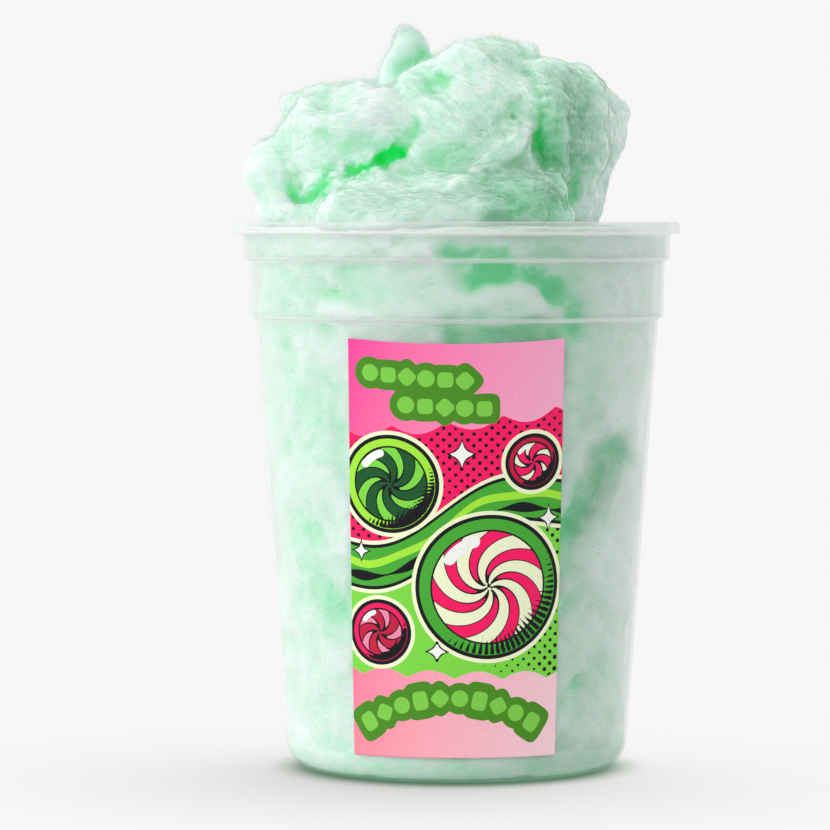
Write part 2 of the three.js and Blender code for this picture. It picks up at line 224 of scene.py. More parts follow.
# The same on the back of the heap.
BACK_STROKES = [
    (-4, 1.8, 0.9, [(-12, 166), (-4, 163), (3, 158), (5, 152)]),
    (-3, 2.2, 0.5, [(5, 152), (14, 149), (24, 151)]),
    (-2.5, 2.0, 0.3, [(-30, 158), (-24, 152), (-15, 149), (-6, 150)]),
    (-2.5, 2.2, 0.4, [(9, 176), (16, 170), (22, 163), (30, 160)]),
    (-2, 2.2, 0.2, [(-20, 176), (-14, 172), (-5, 172)]),
    (1.6, 1.8, 0, [(-14, 162), (-6, 159.5), (-1, 155)]),
    (1.6, 1.8, 0, [(10, 172), (17, 166), (24, 160)]),
    (1.4, 1.6, 0, [(-34, 163), (-28, 155), (-20, 152.5)]),
    (-1.8, 2.0, 0.2, [(33, 168), (30, 158), (33, 149)]),
    (0, 8, 0.25, [(-20, 160), (0, 168), (20, 155)]),
]

# The same for the candy that shows through the wall.
PACKED_STROKES = [
    (-2, 2.6, 1.3, [(-3, 136.4), (3, 135.9), (11, 135.8)]),
    (0, 5.0, 0.4, [(-4, 138), (14, 138.5), (26, 137)]),
    (-2, 4.0, 2.2, [(6.5, 130.5), (13, 130.5)]),
    (-1.5, 3.4, 1.5, [(13, 130.5), (20, 129), (26, 126.5)]),
    (-1, 2.4, 1.0, [(8, 130), (4.5, 127.3)]),
    (-1.5, 2.6, 0.9, [(27, 126), (29.5, 122), (30.5, 117)]),
    (-1.5, 2.0, 0.5, [(-11, 131), (-9, 129)]),
    (0, 8.0, -0.9, [(-52, 139), (-34, 138), (-20, 138)]),
    (0, 6.0, -0.5, [(-50, 132), (-30, 132), (-12, 131)]),
    (-1, 4.5, 0.3, [(-36, 126), (-26, 125)]),
    (1.5, 2.6, -0.5, [(-30, 121), (-14, 124), (-4, 122)]),
    (1.5, 2.6, -0.6, [(-2, 128), (4, 125), (12, 124.5), (20, 121)]),
    (-2, 2.6, 0.7, [(-3, 117), (-1, 112)]),
    (-1, 4.5, 0.8, [(6, 116), (18, 115), (29, 116)]),
    (0, 5.0, 0.4, [(30, 135), (31, 120), (33, 95)]),
    (-2, 5.0, 1.5, [(41.5, 84), (37.5, 78.5), (34.5, 73.5), (31, 68.5), (27, 64.5)]),
    (0, 5.0, 1.2, [(37.5, 77), (35, 72), (31, 67), (27, 63)]),
    (-1, 5.0, 0.4, [(31, 66), (27, 55), (25, 46)]),
    (1.5, 3.0, -0.3, [(42, 104), (41, 90)]),
    (-1, 6.0, 0.65, [(-40, 62), (-37, 50), (-30, 44)]),
    (-1, 4.0, 0.2, [(38, 30), (30, 22), (20, 16)]),
]

# Painted shade: parts of the heap's front coloured darker and greener where they lie in shade: width,
# amount and the line of each.
PAINTED_SHADE_ZONES = [
    (9.0, 0.55, [(8, 154.5), (16, 155), (21, 153)]),
    (3.0, 0.25, [(19.5, 184), (20.5, 180), (22, 173), (22.7, 165), (22.5, 158)]),
    (7.0, 0.6, [(27, 178), (28, 168), (27, 161)]),
    (4.6, 0.5, [(33, 178), (35, 172), (35, 160)]),
    (3.5, 0.65, [(32.5, 175), (32.5, 168)]),
    (4, 0.3, [(6, 170), (11, 169.5)]),
    (5, 0.2, [(12, 190), (13, 186)]),
    (7.5, 0.25, [(4, 162), (9, 165), (15, 172)]),
    (5, 0.3, [(-28, 147), (-10, 150), (4, 150)]),
]

HEAP_GREEN = 0.08
PAINTED_SHADE_GREEN = 0.5  # how much greener the painted shade colours those parts
PACKED_GREEN = 0.16
FOOT_GREEN = 0.6  # painted shade: how much greener the candy is coloured low down, where it is pressed into the foot
PALE_SIDE = 0.24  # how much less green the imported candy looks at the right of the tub
SIDES = (-30, 35)  # the places at the left and right for which the next two are given
# painted shade on the imported candy, growing towards the right, which lies in shade
PACKED_PAINTED_SHADE = (0.04, 0.24)
FOOT_PAINTED_SHADE = (0.1, 0.55)  # painted shade added low in the foot
MOUTH_PAINTED_SHADOW = 0.3  # painted shadow added under the heap, at the mouth
DIAGONAL_PAINTED_SHADE = 0.5  # painted shade added in the deep fold at the right of the label


# ---- small helpers ----

def wall_radius(z):
    """The straight wall's outer radius at a height."""
    slope = (WALL_TOP_RADIUS - CORNER_START_RADIUS) / (BAND_FOOT - SHELF - CORNER_RADIUS)
    return WALL_TOP_RADIUS - slope * (BAND_FOOT - SHELF - z)


def inner_radius(z):
    """The radius of the space inside the tub at each of an array of heights."""
    z = np.asarray(z, float)
    rounding = CORNER_RADIUS - WALL
    across = np.sqrt(np.clip(rounding ** 2 - (CORNER_RADIUS - z) ** 2, 0, None))
    radius = wall_radius(z) - WALL
    radius = np.where(z < CORNER_RADIUS, CORNER_START_RADIUS - CORNER_RADIUS + across, radius)
    radius = np.where(z >= BAND_FOOT, BAND_RADIUS - DRAFT - WALL, radius)
    return np.where(z >= COLLAR_FOOT, COLLAR_RADIUS - DRAFT - WALL, radius)


def linked(name, data):
    """A new object in the scene."""
    piece = bpy.data.objects.new(name, data)
    bpy.context.collection.objects.link(piece)
    return piece


def mesh_object(name, points, faces, smooth=True):
    """A new object from points in millimetres and lists of point numbers."""
    mesh = bpy.data.meshes.new(name)
    mesh.from_pydata((np.asarray(points, float) * MM).tolist(), [], [list(map(int, f)) for f in faces])
    mesh.validate()
    if smooth:
        mesh.shade_smooth()
    return linked(name, mesh)


def read(items, field, width=1, kind=np.float32):
    """One field of every item, with the given number of columns."""
    values = np.empty(len(items) * width, kind)
    items.foreach_get(field, values)
    return values.reshape(-1, width) if width > 1 else values


def read_points(mesh):
    return read(mesh.vertices, "co", 3).astype(float) / MM


def read_value(mesh, name):
    return read(mesh.attributes[name].data, "value").astype(float)


def write_points(mesh, points):
    mesh.vertices.foreach_set("co", (points * MM).astype(np.float32).ravel())
    mesh.update()


def read_normals(mesh):
    return read(mesh.vertices, "normal", 3).astype(float)


def unit(vectors):
    return vectors / np.maximum(np.linalg.norm(vectors, axis=-1, keepdims=True), 1e-9)


def store(mesh, name, values):
    """Keeps one number or one vector for each point, for the materials to read."""
    values = np.asarray(values, np.float32)
    kind = "FLOAT" if values.ndim == 1 else "FLOAT_VECTOR"
    field = "value" if values.ndim == 1 else "vector"
    mesh.attributes.new(name, kind, "POINT").data.foreach_set(field, values.ravel())


def finish_piece(piece, slot, material, *nodes):
    piece.data.materials.append(material)
    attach(piece, "root")
    if nodes:
        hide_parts(*nodes)


# ---- noise, in numpy so that a hundred thousand points take a moment ----

def hashed(cells, seed):
    """A repeatable number from 0 to 1 for each whole-number cell."""
    x, y, z = (cells[..., axis].astype(np.int64) for axis in range(3))
    mixed = (x * 374761393 + y * 668265263 + z * 2147483647 + seed * 974634777) & 0xFFFFFFFF
    mixed = ((mixed ^ (mixed >> 13)) * 1274126177) & 0xFFFFFFFF
    return ((mixed ^ (mixed >> 16)) & 0xFFFFFF) / float(0xFFFFFF)


def soft_noise(points, size, seed=0):
    """Smooth noise from -1 to 1, whose lumps are about size millimetres across."""
    scaled = points / size
    cell = np.floor(scaled)
    inside = scaled - cell
    ease = inside * inside * inside * (inside * (inside * 6 - 15) + 10)
    total = 0
    for corner in np.ndindex(2, 2, 2):
        weight = np.prod(np.where(np.array(corner) == 1, ease, 1 - ease), axis=-1)
        total = total + weight * hashed(cell + corner, seed)
    return 2 * total - 1


def layered_noise(points, size, layers=3, seed=0):
    total = 0
    for layer in range(layers):
        total = total + soft_noise(points, size / 2 ** layer, seed + layer) / 2 ** layer
    return total


def noise_vectors(points, size, seeds):
    """Smooth noise with one column for each seed."""
    return np.stack([soft_noise(points, size, seed) for seed in seeds], axis=1)


def rise(values, start, end):
    """0 up to the start and 1 from the end on, with an even slope between them, either way round."""
    return np.clip((values - start) / (end - start), 0, 1)


def from_axis(points):
    """Each point's distance from the tub's axis."""
    return np.hypot(points[:, 0], points[:, 1])


def scaled_out(points, wanted, radius):
    """Moves points to the wanted distances from the axis."""
    points[:, :2] *= (wanted / np.maximum(radius, 1e-6))[:, None]


# ---- shaping soft meshes ----

def neighbours(mesh):
    return read(mesh.edges, "vertices", 2, np.int32)


def average_near(values, edges, count):
    """Each point's mean over its neighbours."""
    number = np.bincount(edges.ravel(), minlength=count)
    columns = []
    for column in values.reshape(count, -1).T:
        joined = np.bincount(edges[:, 0], weights=column[edges[:, 1]], minlength=count)
        joined += np.bincount(edges[:, 1], weights=column[edges[:, 0]], minlength=count)
        columns.append(joined / np.maximum(number, 1))
    return np.stack(columns, axis=-1).reshape(values.shape)


def relax(values, edges, passes, pull=0.5):
    for _ in range(passes):
        values = values + pull * (average_near(values, edges, len(values)) - values)
    return values


def remeshed(piece, voxel, name):
    """One closed skin round everything in the piece, with even faces."""
    modifier = piece.modifiers.new("skin", "REMESH")
    modifier.mode = "VOXEL"
    modifier.voxel_size = voxel * MM
    evaluated = piece.evaluated_get(bpy.context.evaluated_depsgraph_get())
    mesh = bpy.data.meshes.new_from_object(evaluated)
    mesh.name = name
    mesh.shade_smooth()
    bpy.data.objects.remove(piece)
    return linked(name, mesh)


# ---- tub ----

def fillet(corner, before, after, radius, steps=5):
    """An arc that rounds one corner of a profile."""
    corner, before, after = (Vector(p) for p in (corner, before, after))
    to_before = (before - corner).normalized()
    to_after = (after - corner).normalized()
    half = to_before.angle(to_after) / 2
    reach = min(radius / math.tan(half), (before - corner).length / 2, (after - corner).length / 2)
    start = corner + to_before * reach
    end = corner + to_after * reach
    arc = []
    for i in range(steps + 1):
        t = i / steps
        arc.append((1 - t) ** 2 * start + 2 * t * (1 - t) * corner + t * t * end)
    return [tuple(p) for p in arc]


def rounded(profile, radii):
    """The profile with its inner corners filleted; the ends stay where they are."""
    out = [profile[0]]
    for i in range(1, len(profile) - 1):
        if radii[i] > 0:
            out += fillet(profile[i], profile[i - 1], profile[i + 1], radii[i])
        else:
            out.append(profile[i])
    return out + [profile[-1]]


def lathe(name, profile, sides):
    """A profile of (radius, height) points turned about Z, closed on the axis at both ends."""
    points, faces, rings = [], [], []
    for radius, height in profile:
        if radius < 1e-6:
            rings.append([len(points)] * sides)
            points.append((0, 0, height))
            continue
        rings.append(list(range(len(points), len(points) + sides)))
        for i in range(sides):
            angle = 2 * math.pi * i / sides
            points.append((radius * math.cos(angle), radius * math.sin(angle), height))
    for low, high in zip(rings, rings[1:]):
        for i in range(sides):
            j = (i + 1) % sides
            face = [low[i], low[j], high[j], high[i]]
            face = list(dict.fromkeys(face))
            if len(face) > 2:
                faces.append(face)
    return mesh_object(name, points, faces)


def tub_profile():
    rim_foot = HEIGHT - RIM_HEIGHT
    foot_inner = CORNER_START_RADIUS - CORNER_RADIUS - FOOT_WIDTH
    centre = CORNER_START_RADIUS - CORNER_RADIUS

    def corner(inset, steps=10):
        radius = CORNER_RADIUS - inset
        angles = [math.pi / 2 * i / steps for i in range(steps + 1)]
        return [(centre + radius * math.sin(a), CORNER_RADIUS - radius * math.cos(a)) for a in angles]

    def side(inset):
        return [
            (WALL_TOP_RADIUS - inset, BAND_FOOT - SHELF),
            (BAND_RADIUS - DRAFT - inset, BAND_FOOT),
            (BAND_RADIUS - inset, COLLAR_FOOT - SHELF),
            (COLLAR_RADIUS - DRAFT - inset, COLLAR_FOOT),
        ]

    outside = [(0, RECESS), (foot_inner - RECESS, RECESS), (foot_inner, 0.0)] + corner(0) + side(0)
    outside += [
        (COLLAR_RADIUS, rim_foot),
        (RIM_RADIUS, rim_foot),
        (RIM_RADIUS, HEIGHT),
        (COLLAR_RADIUS - WALL, HEIGHT),
    ]
    inside = [(0, RECESS + WALL), (foot_inner, RECESS + WALL)] + corner(WALL)[2:] + side(WALL)
    profile = outside + inside[::-1]
    turns = {}
    for radius, height in side(0) + side(WALL):
        turns[(radius, height)] = 0.5
    turns[(COLLAR_RADIUS, rim_foot)] = 0.4
    turns[(RIM_RADIUS, rim_foot)] = 0.5
    turns[(RIM_RADIUS, HEIGHT)] = 0.9
    turns[(COLLAR_RADIUS - WALL, HEIGHT)] = 0.6
    return rounded(profile, [turns.get(p, 0) for p in profile])


def make_tub(material):
    tub = lathe("tub_shell", tub_profile(), 160)
    finish_piece(tub, "tub_plastic", material, "tub")
    return tub


# ---- cotton candy ----

def drift(p):
    """A slow swirl that turns round tufts into torn, leaning ones."""
    x, y, z = p.T
    moved = np.empty_like(p)
    moved[:, 0] = x + 1.5 * np.sin(y / 9 + 1.1) + 1.1 * np.sin(z / 5.5 + x / 14)
    x = moved[:, 0]
    moved[:, 1] = y + 1.6 * np.sin(x / 8 + 0.4) + 1.1 * np.sin(z / 6.5 + y / 11)
    y = moved[:, 1]
    moved[:, 2] = z + 1.2 * np.sin(x / 7.5 + 2.2) * np.cos(y / 10) + 0.7 * np.sin((x - y) / 5)
    return moved


def tuft_frame(lean):
    """The rotation that leans a tuft, as a matrix for row vectors."""
    about_x = math.radians(-lean[1])
    about_y = math.radians(lean[0])
    cos_x, sin_x = math.cos(about_x), math.sin(about_x)
    cos_y, sin_y = math.cos(about_y), math.sin(about_y)
    turn_x = np.array([[1, 0, 0], [0, cos_x, -sin_x], [0, sin_x, cos_x]])
    turn_y = np.array([[cos_y, 0, sin_y], [0, 1, 0], [-sin_y, 0, cos_y]])
    return (turn_x @ turn_y).T


def sphere(detail):
    """A round ball's points and faces, radius 1."""
    shape = bmesh.new()
    bmesh.ops.create_icosphere(shape, subdivisions=detail, radius=1)
    points = np.array([v.co[:] for v in shape.verts])
    faces = np.array([[v.index for v in f.verts] for f in shape.faces])
    shape.free()
    return points, faces


def tuft_skin(index, ball):
    """The points of one tuft, from the points of a unit ball."""
    at, size, lean, folds, _ = list(TUFTS.values())[index]
    winding = unit(np.array([math.sin(index * 2.4), math.cos(index * 2.4), 0.9]))
    side = unit(np.array([winding[1], -winding[0], 0]))
    wave = np.abs(np.sin(folds * 1.6 * (ball @ winding) + 0.9 * np.sin(2.6 * (ball @ side) + index)))
    tuft = ball * (0.92 + 0.12 * np.sqrt(wave))[:, None] * np.array(size, float)
    return drift(tuft @ tuft_frame(lean) + np.array(at, float))


def distance_to_line(points, line):
    """How far each (x, z) point is from a line of (x, z) corners."""
    best = np.full(len(points), 1e9)
    for start, end in zip(line, line[1:]):
        start, along = np.array(start, float), np.array(end, float) - np.array(start, float)
        t = np.clip((points - start) @ along / (along @ along), 0, 1)
        best = np.minimum(best, np.linalg.norm(points - start - t[:, None] * along, axis=1))
    return best


def carve(points, normals, strokes, side=-1, fray=1.0):
    """Presses one side's crevices in and lifts its torn edges. Returns points and the painted shade of
    each, painted light below zero.
    """
    this_side = side * points[:, 1] > -8
    facing = np.clip(0.35 + side * normals[:, 1], 0, 1) * this_side
    tinted = np.clip(1.2 + 2 * side * normals[:, 1], 0, 1) * this_side
    shift = np.zeros(len(points))
    deep = np.zeros(len(points))
    torn = fray * noise_vectors(points, 3.5 * fray, (31, 32)) + noise_vectors(points, 1.5, (35, 36))
    frayed = points[:, [0, 2]] + torn
    for height, width, green, line in strokes:
        near = np.exp(-(distance_to_line(frayed, line) / width) ** 2)
        shift += height * near * facing
        near *= facing if height else tinted
        deep = np.maximum(deep, green * near) if green >= 0 else deep + green * near
    return points + normals * shift[:, None], deep


def painted_shade_of(points, normals):
    """How much painted shade darkens the front of the heap at each point, from 0 to 1."""
    facing = np.clip(0.6 - normals[:, 1], 0, 1) * (points[:, 1] < 12)
    frayed = points[:, [0, 2]] + 2 * noise_vectors(points, 6, (33, 34))
    painted_shade = np.zeros(len(points))
    for width, amount, line in PAINTED_SHADE_ZONES:
        near = np.exp(-(distance_to_line(frayed, line) / width) ** 2)
        painted_shade = np.maximum(painted_shade, amount * near * facing)
    return painted_shade


def winding_of(points):
    """For each point: coordinates stretched along the spun fibres, and the fibres' direction."""
    undrifted = 2 * points - drift(points)
    nearest = np.full(len(points), 1e9)
    strand = np.zeros((len(points), 3))
    flow = np.zeros((len(points), 3))
    for index, (at, size, lean, _, axis) in enumerate(TUFTS.values()):
        offset = undrifted - np.array(at, float)
        reach = np.linalg.norm(offset @ tuft_frame(lean).T / np.array(size, float), axis=1)
        axis = unit(np.array(axis, float))
        first = unit(np.cross(axis, (0.3, -0.9, 0.2)))
        second = np.cross(axis, first)
        up, one, two = offset @ axis, offset @ first, offset @ second
        radius = np.maximum(np.hypot(one, two), 1e-6)
        around = sum(size) / 3 * FIBRE_STRETCH
        local = np.stack([one / radius * around, two / radius * around, up], axis=1) + 17.0 * index
        mine = reach < nearest
        nearest = np.where(mine, reach, nearest)
        strand[mine] = local[mine]
        flow[mine] = np.cross(axis, offset)[mine]
    strand[:, 2] += 1.6 * soft_noise(points, 9, 41)
    return strand, unit(flow)


def winding_in_tub(points):
    """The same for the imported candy, which swirls round the tub."""
    x, y, z = points.T
    radius = np.maximum(np.hypot(x, y), 1e-6)
    tilt = 14 * soft_noise(points, 40, 51) + 5 * soft_noise(points, 15, 52)
    around = 50 * FIBRE_STRETCH
    strand = np.stack([x / radius * around, y / radius * around, 0.8 * (z + tilt)], axis=1)
    return strand, unit(np.stack([-y, x, 0 * z], axis=1))


def shelter_of(mesh):
    """How shut in each point is, 0 in the open and 1 deep in a crevice, from rays off a coarse copy."""
    coarse = remeshed(linked("coarse", mesh.copy()), SHELTER_VOXEL, "coarse")
    tree = BVHTree.FromObject(coarse, bpy.context.evaluated_depsgraph_get())
    points = read_points(coarse.data)
    normals = read_normals(coarse.data)
    spread = []
    for ray in range(SHELTER_RAYS):
        height = 1 - (ray + 0.5) / SHELTER_RAYS
        turn = ray * GOLDEN_ANGLE
        flat = math.sqrt(1 - height * height)
        spread.append((flat * math.cos(turn), flat * math.sin(turn), height))
    shut = np.zeros(len(points))
    for index, (point, normal) in enumerate(zip(points * MM, normals)):
        up = Vector(normal)
        first = up.orthogonal().normalized()
        second = up.cross(first)
        start = Vector(point) + up * (SHELTER_START * MM)
        for across, along, height in spread:
            toward = across * first + along * second + height * up
            reach = tree.ray_cast(start, toward, SHELTER_REACH * MM)[3]
            if reach is not None:
                shut[index] += height * (1 - reach / (SHELTER_REACH * MM)) ** 0.5
    shut /= sum(height for _, _, height in spread)
    lookup = KDTree(len(points))
    for index, point in enumerate(points):
        lookup.insert(point, index)
    lookup.balance()
    bpy.data.objects.remove(coarse)
    values = np.empty(len(mesh.vertices))
    for index, point in enumerate(read_points(mesh)):
        near = lookup.find_n(point, 4)
        weights = [1 / (0.2 + distance) for _, _, distance in near]
        values[index] = sum(w * shut[i] for w, (_, i, _) in zip(weights, near)) / sum(weights)
    return values


def thinness_of(mesh):
    """How thin the candy is behind each point: 1 in a wisp, 0 where it is thick."""
    tree = BVHTree.FromPolygons(
        [v.co[:] for v in mesh.vertices],
        [p.vertices[:] for p in mesh.polygons],
    )
    normals = read_normals(mesh)
    thin = np.zeros(len(normals))
    for index, (point, normal) in enumerate(zip(read_points(mesh) * MM, normals)):
        inward = -Vector(normal)
        reach = tree.ray_cast(Vector(point) + inward * (THIN_START * MM), inward, THICK * MM)[3]
        if reach is not None:
            thin[index] = 1 - reach / (THICK * MM)
    return thin


def point_of_face(mesh):
    """One of the points of each face."""
    first_corner = read(mesh.polygons, "loop_start", 1, np.int32)
    return read(mesh.loops, "vertex_index", 1, np.int32)[first_corner]


def calm_of(x):
    """How lumpy the heap is at each place across it, less at the sheets on the right."""
    return 1 - SHEET_CALM * rise(x, *SHEETS)


def make_threads(candy, lowest, name, count, steps, step, least, most, radius, seed):
    """Loose threads that lie along the candy's winding and lift off it towards one end."""
    mesh = candy.data
    tree = BVHTree.FromObject(candy, bpy.context.evaluated_depsgraph_get())
    points = read_points(mesh)
    normals = read_normals(mesh)
    flow = read(mesh.attributes["flow"].data, "vector", 3).astype(float)
    green = read_value(mesh, "green")
    painted_shade = read_value(mesh, "painted_shade")
    face_point = point_of_face(mesh)
    random = np.random.default_rng(seed)
    open_ground = (points[:, 2] > lowest) & (from_axis(points) < THREAD_REACH)
    shown = np.flatnonzero(open_ground & (green < THREAD_GREEN))
    root = random.choice(shown, count, replace=False)
    way = np.where(random.random(count) < 0.5, -1.0, 1.0)
    lift = least + (most - least) * random.random(count) ** 2 * calm_of(points[root, 0])
    here = points[root] + (random.random((count, 3)) - 0.5) * HEAP_VOXEL
    own = 40 * random.random((count, 3))
    path = []
    visited = []
    for stage in range(steps):
        t = stage / (steps - 1)
        path.append(here + normals[root] * (lift * t ** 1.5 + 0.04)[:, None])
        visited.append(root)
        turn = noise_vectors(here, 7, range(seed + 10, seed + 13))
        turn += 0.7 * noise_vectors(here + own, 3, range(seed + 20, seed + 23))
        ahead = here + unit(flow[root] * way[:, None] + 1.3 * turn) * step
        landed = [tree.find_nearest(Vector(point)) for point in ahead * MM]
        here = np.array([spot[0][:] for spot in landed]) / MM
        root = face_point[[spot[2] for spot in landed]]
    path = np.stack(path, axis=1)
    threads = thread_mesh(name, path, radius * (0.6 + 0.8 * random.random(count)))
    visited = np.stack(visited, axis=1)
    middle = np.repeat(visited[:, 1:-1], 3, axis=1)
    visited = np.concatenate([visited[:, :1], middle, visited[:, -1:]], axis=1)
    # The threads take on the painted shade of the candy that they lie on.
    store(threads.data, "green", green[visited.ravel()])
    store(threads.data, "painted_shade", painted_shade[visited.ravel()])
    threads.visible_shadow = False
    threads.visible_diffuse = False
    return threads


def thread_mesh(name, path, radius):
    """Three-sided tubes along many paths at once, each drawn to a point at both ends."""
    count, steps, _ = path.shape
    along = np.gradient(path, axis=1)
    side = unit(np.cross(along, [0.31, 0.87, 0.38]))
    up = unit(np.cross(along, side))
    rings = []
    for turn in range(3):
        angle = 2 * math.pi * turn / 3
        offset = (math.cos(angle) * side + math.sin(angle) * up) * radius[:, None, None]
        rings.append(path[:, 1:-1] + offset[:, 1:-1])
    rings = np.stack(rings, axis=2).reshape(count, -1, 3)
    points = np.concatenate([path[:, :1], rings, path[:, -1:]], axis=1)
    each = points.shape[1]
    faces = []
    for turn in range(3):
        after = (turn + 1) % 3
        faces.append([0, 1 + after, 1 + turn])
        for step in range(steps - 3):
            low = 1 + 3 * step
            faces.append([low + turn, low + after, low + 3 + after])
            faces.append([low + turn, low + 3 + after, low + 3 + turn])
        last = 1 + 3 * (steps - 3)
        faces.append([last + turn, last + after, each - 1])
    faces = np.array(faces)[None] + (np.arange(count) * each)[:, None, None]
    return mesh_object(name, points.reshape(-1, 3), faces.reshape(-1, 3))


def make_heap():
    ball, ball_faces = sphere(5)
    points = [tuft_skin(index, ball) for index in range(len(TUFTS))]
    faces = [ball_faces + index * len(ball) for index in range(len(TUFTS))]
    tufts = mesh_object("tufts", np.concatenate(points), np.concatenate(faces))
    heap = remeshed(tufts, HEAP_VOXEL, "candy_heap")
    mesh = heap.data
    edges = neighbours(mesh)
    points = relax(read_points(mesh), edges, 34)
    write_points(mesh, points)
    normals = read_normals(mesh)
    x, y, z = points.T
    calm = calm_of(x)
    wide = np.abs(np.sin(x / 5.2 + 1.3 * np.sin(y / 7) + z / 9))
    narrow = np.abs(np.sin(z / 4.1 + 1.1 * np.sin(x / 6 + 1) - y / 8))
    puff = PUFF_DEPTH * calm * (np.sqrt(wide * narrow) - 0.6)
    points = relax(points + normals * puff[:, None], edges, 12)
    write_points(mesh, points)
    points, deep = carve(points, read_normals(mesh), STROKES)
    points, deep_behind = carve(points, read_normals(mesh), BACK_STROKES, 1)
    points = relax(points, edges, 4)
    write_points(mesh, points)
    deep = np.where(np.abs(deep_behind) > np.abs(deep), deep_behind, deep)
    # Painted shade on the front of the heap, for the material to darken its colour by.
    painted_shade = painted_shade_of(points, read_normals(mesh))
    detail_candy(mesh, edges, deep + HEAP_GREEN + PAINTED_SHADE_GREEN * painted_shade, winding_of, CLUMP_DEPTH * calm)
    store(mesh, "painted_shade", painted_shade)
    keep_inside(mesh)
    store(mesh, "thin", relax(thinness_of(mesh), edges, 30))
    return heap


def packed_fold(angle, z):
    """0 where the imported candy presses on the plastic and 1 in a fold, as in the solid."""
    swirl = 2 * angle + z / 17 + 0.9 * np.sin(3 * angle - z / 23)
    ripple = 0.35 * np.sin(5 * angle + z / 9 + 2 * np.sin(2 * angle))
    return (0.5 + 0.5 * np.sin(swirl + ripple)) ** 4


def packed_core():
    """A lathed core that fills the tub, skinned with even faces."""
    base = RECESS + WALL + PACKED_GAP
    heights = np.linspace(base + 0.6, SHOULDER, 90)
    profile = [(0, base)] + list(zip(inner_radius(heights) - PACKED_GAP, heights))
    mouth = profile[-1][0]
    for t in np.linspace(0.06, 1, 16):
        profile.append((mouth * (1 - t), SHOULDER + (CROWN - SHOULDER) * t * t))
    profile[-1] = (0, CROWN)
    return remeshed(lathe("packed", profile, 200), PACKED_VOXEL, "candy_packed")


def pulled_off_wall(points):
    """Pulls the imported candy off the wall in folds. Returns how deep a fold each point lies in."""
    x, y, z = points.T
    radius = from_axis(points)
    behind_label = rise(np.abs(x), *BEHIND_LABEL) * (y < 0) * (z < BAND_FOOT)
    on_wall = rise(radius, *AT_WALL) * rise(z, *FOLDS_UP) * rise(z, *FOLDS_DOWN) * (1 - behind_label)
    fold = on_wall * packed_fold(np.arctan2(y, x), z)
    lumps = np.abs(soft_noise(points, 30, 21) + 0.5 * soft_noise(points, 13, 22))
    beside_label = rise(np.abs(x), *BESIDE_LABEL) * (y < 0)
    push = (FOLD_DEPTH * fold + BILLOW_DEPTH * on_wall * lumps) * (1 - LABEL_CALM * beside_label)
    scaled_out(points, radius - push, radius)
    return fold


def packed_tones(points, deep, fold, edges):
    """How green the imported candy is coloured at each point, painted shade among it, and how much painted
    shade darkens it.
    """
    x, _, z = points.T
    strand, _ = winding_in_tub(points)
    torn = 1 - 2.2 * np.abs(layered_noise(points * (1, 1, 1.6), 7, 4, 71))
    deep = np.where(deep > 0, deep * np.clip(0.9 + 0.4 * torn, 0.8, 1.2), deep)
    # Painted shade: greener low in the foot.
    deep = deep + FOOT_GREEN * rise(z, *GREEN_FOOT)
    pale = rise(x, *PALE_RIGHT) * rise(z, *PALE_UP)
    crease = np.clip(deep, 0, 1)
    bands = layered_noise(strand, 9, 3, 61) * (1 - 0.7 * crease)
    # Painted shade: greener in the folds off the wall and along the strokes; less green at the right.
    green = relax(deep + 0.25 * fold, edges, 1) + 0.3 * bands + PACKED_GREEN - PALE_SIDE * pale
    painted_shade = np.interp(x, SIDES, PACKED_PAINTED_SHADE)
    painted_shade += np.interp(x, SIDES, FOOT_PAINTED_SHADE) * rise(z, *PAINTED_SHADE_FOOT)
    painted_shade += DIAGONAL_PAINTED_SHADE * pale * crease * rise(z, *DIAGONAL_DOWN)
    return green, painted_shade


def make_packed():
    """The candy inside the tub, pressed into folds against the wall."""
    packed = packed_core()
    mesh = packed.data
    edges = neighbours(mesh)
    points = read_points(mesh)
    fold = pulled_off_wall(points)
    write_points(mesh, points)
    points, deep = carve(points, read_normals(mesh), PACKED_STROKES, fray=2.4)
    points = relax(points, edges, 8)
    points[:, 2] -= RIGHT_DROP * rise(points[:, 0], *DROP_RIGHT) ** 2 * rise(points[:, 2], *DROP_UP)
    write_points(mesh, points)
    green, painted_shade = packed_tones(points, deep, fold, edges)
    detail_candy(mesh, edges, green, winding_in_tub, crumple=PACKED_CRUMPLE)
    # Painted shadow under the heap, at the mouth.
    heap_shadow = np.exp(-((points[:, 0] - 14) / 24) ** 2) * rise(points[:, 2], *UNDER_HEAP)
    store(mesh, "painted_shade", painted_shade + MOUTH_PAINTED_SHADOW * heap_shadow)
    store(mesh, "thin", np.zeros(len(mesh.vertices)))
    settle(mesh)
    return packed


